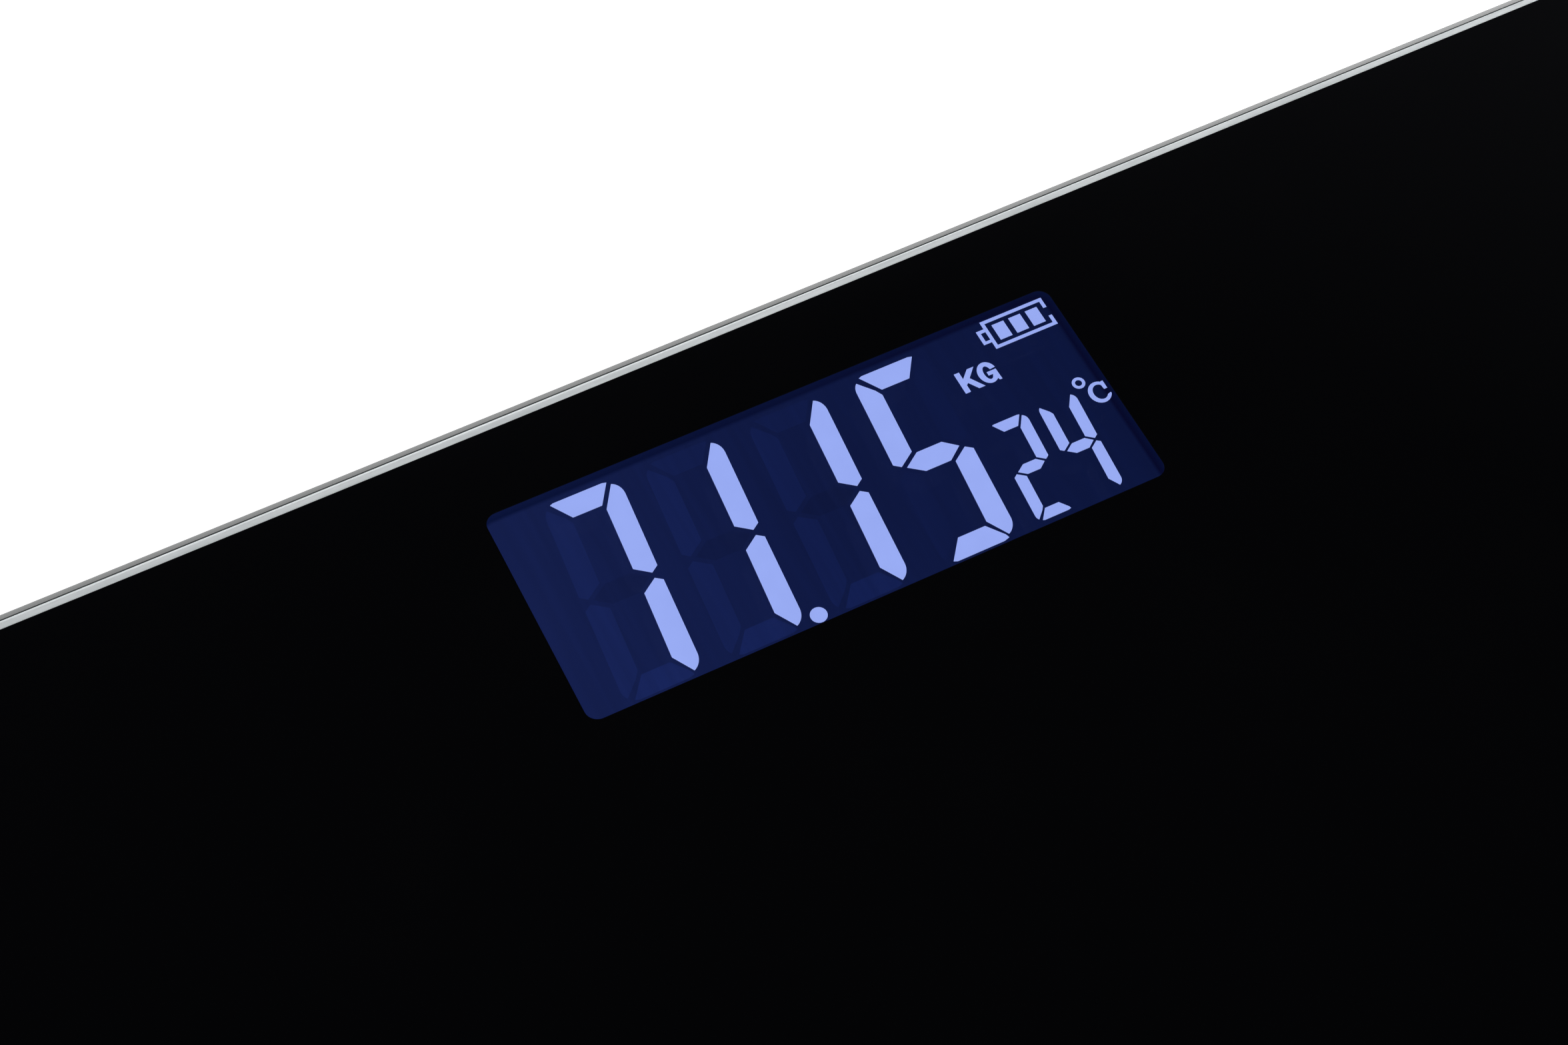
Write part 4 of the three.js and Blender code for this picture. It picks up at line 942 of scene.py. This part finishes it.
BATTERY_CASE = [(36.33, 12.86), (36.78, 12.86), (36.78, 14.37), (28.2, 14.37), (28.2, 13.3), (27.12, 13.3),
                (27.12, 11.2), (28.2, 11.2), (28.2, 10.08), (36.78, 10.08), (36.78, 11.59), (36.33, 11.59),
                (36.33, 10.53), (28.65, 10.53), (28.65, 13.92), (36.33, 13.92)]
BATTERY_HOLE = [(27.56, 11.6), (28.2, 11.6), (28.2, 12.84), (27.56, 12.84)]
BATTERY_BARS = [[(x, 11.03), (x + 1.64, 11.03), (x + 1.64, 13.4), (x, 13.4)] for x in (29.35, 31.67, 34.0)]


def weld(mesh):
    """Joins the points that two faces of a filled shape share."""
    shape = bmesh.new()
    shape.from_mesh(mesh)
    bmesh.ops.remove_doubles(shape, verts=shape.verts, dist=WELD)
    shape.to_mesh(mesh)
    shape.free()


def film_shapes(name, outlines, material):
    """Thin flat shapes on the polariser; an outline inside another is a hole in it."""
    curve = bpy.data.curves.new(name, "CURVE")
    curve.dimensions = "2D"
    curve.fill_mode = "BOTH"
    curve.extrude = FILM / 2 * MM
    for outline in outlines:
        spline = curve.splines.new("POLY")
        spline.points.add(len(outline) - 1)
        spline.use_cyclic_u = True
        for point, (x, y) in zip(spline.points, outline):
            point.co = (x * MM, y * MM, 0, 1)
    drawn = bpy.data.objects.new(name, curve)
    drawn.location = Vector((DISPLAY.x, DISPLAY.y, DISPLAY.z + FILM / 2)) * MM
    drawn.rotation_euler.z = DISPLAY_TURN
    bpy.context.scene.collection.objects.link(drawn)
    bpy.context.view_layer.update()
    mesh = bpy.data.meshes.new_from_object(drawn.evaluated_get(bpy.context.evaluated_depsgraph_get()))
    mesh.transform(drawn.matrix_world)
    mesh.name = name
    mesh.materials.clear()
    bpy.data.objects.remove(drawn)
    weld(mesh)
    made = bpy.data.objects.new(name, mesh)
    bpy.context.scene.collection.objects.link(made)
    finish_piece(made, material, "platform", ())


def digit_outlines(centre, names, scale=1.0, middle=DIGIT_MIDDLE):
    """A numeral's segments, leaned like the display's italic figures."""
    outlines = []
    for name in names:
        points = [(centre + scale * x, middle + scale * y) for x, y in SEGMENTS[name]]
        outlines.append([(x + SLANT * y, y) for x, y in points])
    return outlines


def display_reading(lit):
    """The lit figures and signs, and the idle segments that show faintly beside them."""
    main, idle = [], {name: [] for name in IDLE_GLOW}
    for centre, numeral in zip(DIGIT_CENTRES, READING):
        main += digit_outlines(centre, NUMERALS[numeral])
        for name in sorted(set(SEGMENTS) - set(NUMERALS[numeral])):
            group = "faint" if numeral == FAINT_NUMERAL else IDLE_GROUPS.get(name, "sides")
            idle[group] += digit_outlines(centre, [name])
    main.append(ring(POINT["x"], POINT["y"], POINT["radius"]))
    film_shapes("reading_segments", main, lit)
    for group, strength in IDLE_GLOW.items():
        film_shapes(f"idle_{group}_segments", idle[group], segment_idle(f"segment_idle_{group}", strength))
    small = []
    for centre, numeral in zip(SMALL_CENTRES, TEMPERATURE):
        small += digit_outlines(centre, NUMERALS[numeral], SMALL_SCALE, SMALL_MIDDLE)
    film_shapes("temperature_segments", small, lit)
    degree = [ring(DEGREE["x"], DEGREE["y"], DEGREE[which]) for which in ("outer", "inner")]
    film_shapes("temperature_unit", degree + [LETTER_C], lit)
    film_shapes("weight_unit", [LETTER_K, LETTER_G], lit)
    film_shapes("battery_level", [BATTERY_CASE, BATTERY_HOLE] + BATTERY_BARS, lit)


lit_film = segment_lit()
glass_platform()
platform_print()
dress("front_polariser", display_ground())
display_reading(lit_film)
underside()
inner_parts()

# ---------- studio ----------

# Half the floor's width, in metres.
FLOOR_HALF = 6.0
# What polished faces mirror, by the sine of the height above the horizon, and the even light of the room.
SKY = [(0.0, (1.0, 1.0, 1.0, 1)),
       (0.2, (0.7, 0.7, 0.71, 1)),
       (0.42, (0.2, 0.2, 0.21, 1)),
       (0.64, (0.07, 0.072, 0.08, 1)),
       (0.8, (0.026, 0.027, 0.034, 1))]
ROOM = 0.85
# Each lamp's place and aim and its width, in metres, and its power in watts.
LAMPS = {
    "back_light": ((1.7, 1.0, 1.05), (0, 0, 0), 1.1, 44),
    "front_light": ((-0.6, -1.8, 1.7), (0, 0, 0), 1.2, 32),
    "right_light": ((0.7, 0.6, 0.5), (0.2, 0.2, 0), 0.4, 9),
}
# The camera's aim is in millimetres from the display's middle, its distance and near limit in metres, its
# angles in degrees, and its lens and sensor in millimetres.
CAMERA = {"aim": (-7.3, -2.62), "distance": 0.32534, "near": 0.01,
          "azimuth": -29.24, "elevation": 58.579, "roll": 2.263,
          "lens": 65.05, "sensor": 36}


def studio_floor():
    """A wide sheet of pale matt paper."""
    nodes = Nodes("floor_paper")
    tone = nodes.tones(nodes.noise(400, 2), (0.86, 0.86, 0.86, 1), (0.88, 0.88, 0.88, 1))
    material = nodes.done(nodes.principled(Base_Color=tone, Roughness=0.9, Specular_IOR_Level=0.1))
    corners = [(x * FLOOR_HALF, y * FLOOR_HALF, 0) for x, y in ((-1, -1), (1, -1), (1, 1), (-1, 1))]
    mesh = bpy.data.meshes.new("studio_floor")
    mesh.from_pydata(corners, [], [(0, 1, 2, 3)])
    mesh.materials.append(material)
    floor = bpy.data.objects.new("studio_floor", mesh)
    bpy.context.scene.collection.objects.link(floor)


def studio_world():
    """A pale even room, whose mirror image is bright at the horizon and dark overhead."""
    world = bpy.data.worlds.new("studio")
    world.use_nodes = True
    tree = world.node_tree
    place = tree.nodes.new("ShaderNodeTexCoord")
    parts = tree.nodes.new("ShaderNodeSeparateXYZ")
    ramp = tree.nodes.new("ShaderNodeValToRGB")
    rays = tree.nodes.new("ShaderNodeLightPath")
    choice = tree.nodes.new("ShaderNodeMix")
    choice.data_type = "RGBA"
    choice.inputs[6].default_value = (ROOM, ROOM, ROOM, 1)
    set_stops(ramp, SKY)
    tree.links.new(place.outputs["Generated"], parts.inputs[0])
    tree.links.new(parts.outputs[2], ramp.inputs[0])
    tree.links.new(rays.outputs["Is Glossy Ray"], choice.inputs[0])
    tree.links.new(ramp.outputs[0], choice.inputs[7])
    tree.links.new(choice.outputs[2], tree.nodes["Background"].inputs["Color"])
    bpy.context.scene.world = world


def softbox(name, place, aim, size, power):
    """A round soft lamp that lights the scene, but isn't mirrored or seen through glass."""
    data = bpy.data.lights.new(name, "AREA")
    data.shape = "DISK"
    data.size = size
    data.energy = power
    light = bpy.data.objects.new(name, data)
    light.location = place
    light.rotation_euler = (Vector(aim) - Vector(place)).to_track_quat("-Z", "Y").to_euler()
    light.visible_glossy = False
    light.visible_transmission = False
    bpy.context.scene.collection.objects.link(light)


def camera():
    """Looks down on the display from the near left, tilted a little."""
    aim = Vector((DISPLAY.x + CAMERA["aim"][0], DISPLAY.y + CAMERA["aim"][1], GLASS_HIGH.z)) * MM
    azimuth, elevation, roll = (math.radians(CAMERA[angle]) for angle in ("azimuth", "elevation", "roll"))
    level = math.cos(elevation)
    back = Vector((math.sin(azimuth) * level, -math.cos(azimuth) * level, math.sin(elevation)))
    data = bpy.data.cameras.new("camera")
    data.sensor_width = CAMERA["sensor"]
    data.lens = CAMERA["lens"]
    data.clip_start = CAMERA["near"]
    made = bpy.data.objects.new("camera", data)
    turn = (-back).to_track_quat("-Z", "Y").to_matrix() @ Matrix.Rotation(roll, 3, "Z")
    made.matrix_world = Matrix.Translation(aim + back * CAMERA["distance"]) @ turn.to_4x4()
    bpy.context.scene.collection.objects.link(made)
    bpy.context.scene.camera = made


studio_floor()
studio_world()
for lamp, settings in LAMPS.items():
    softbox(lamp, *settings)
camera()
bpy.context.scene.view_settings.view_transform = "Standard"
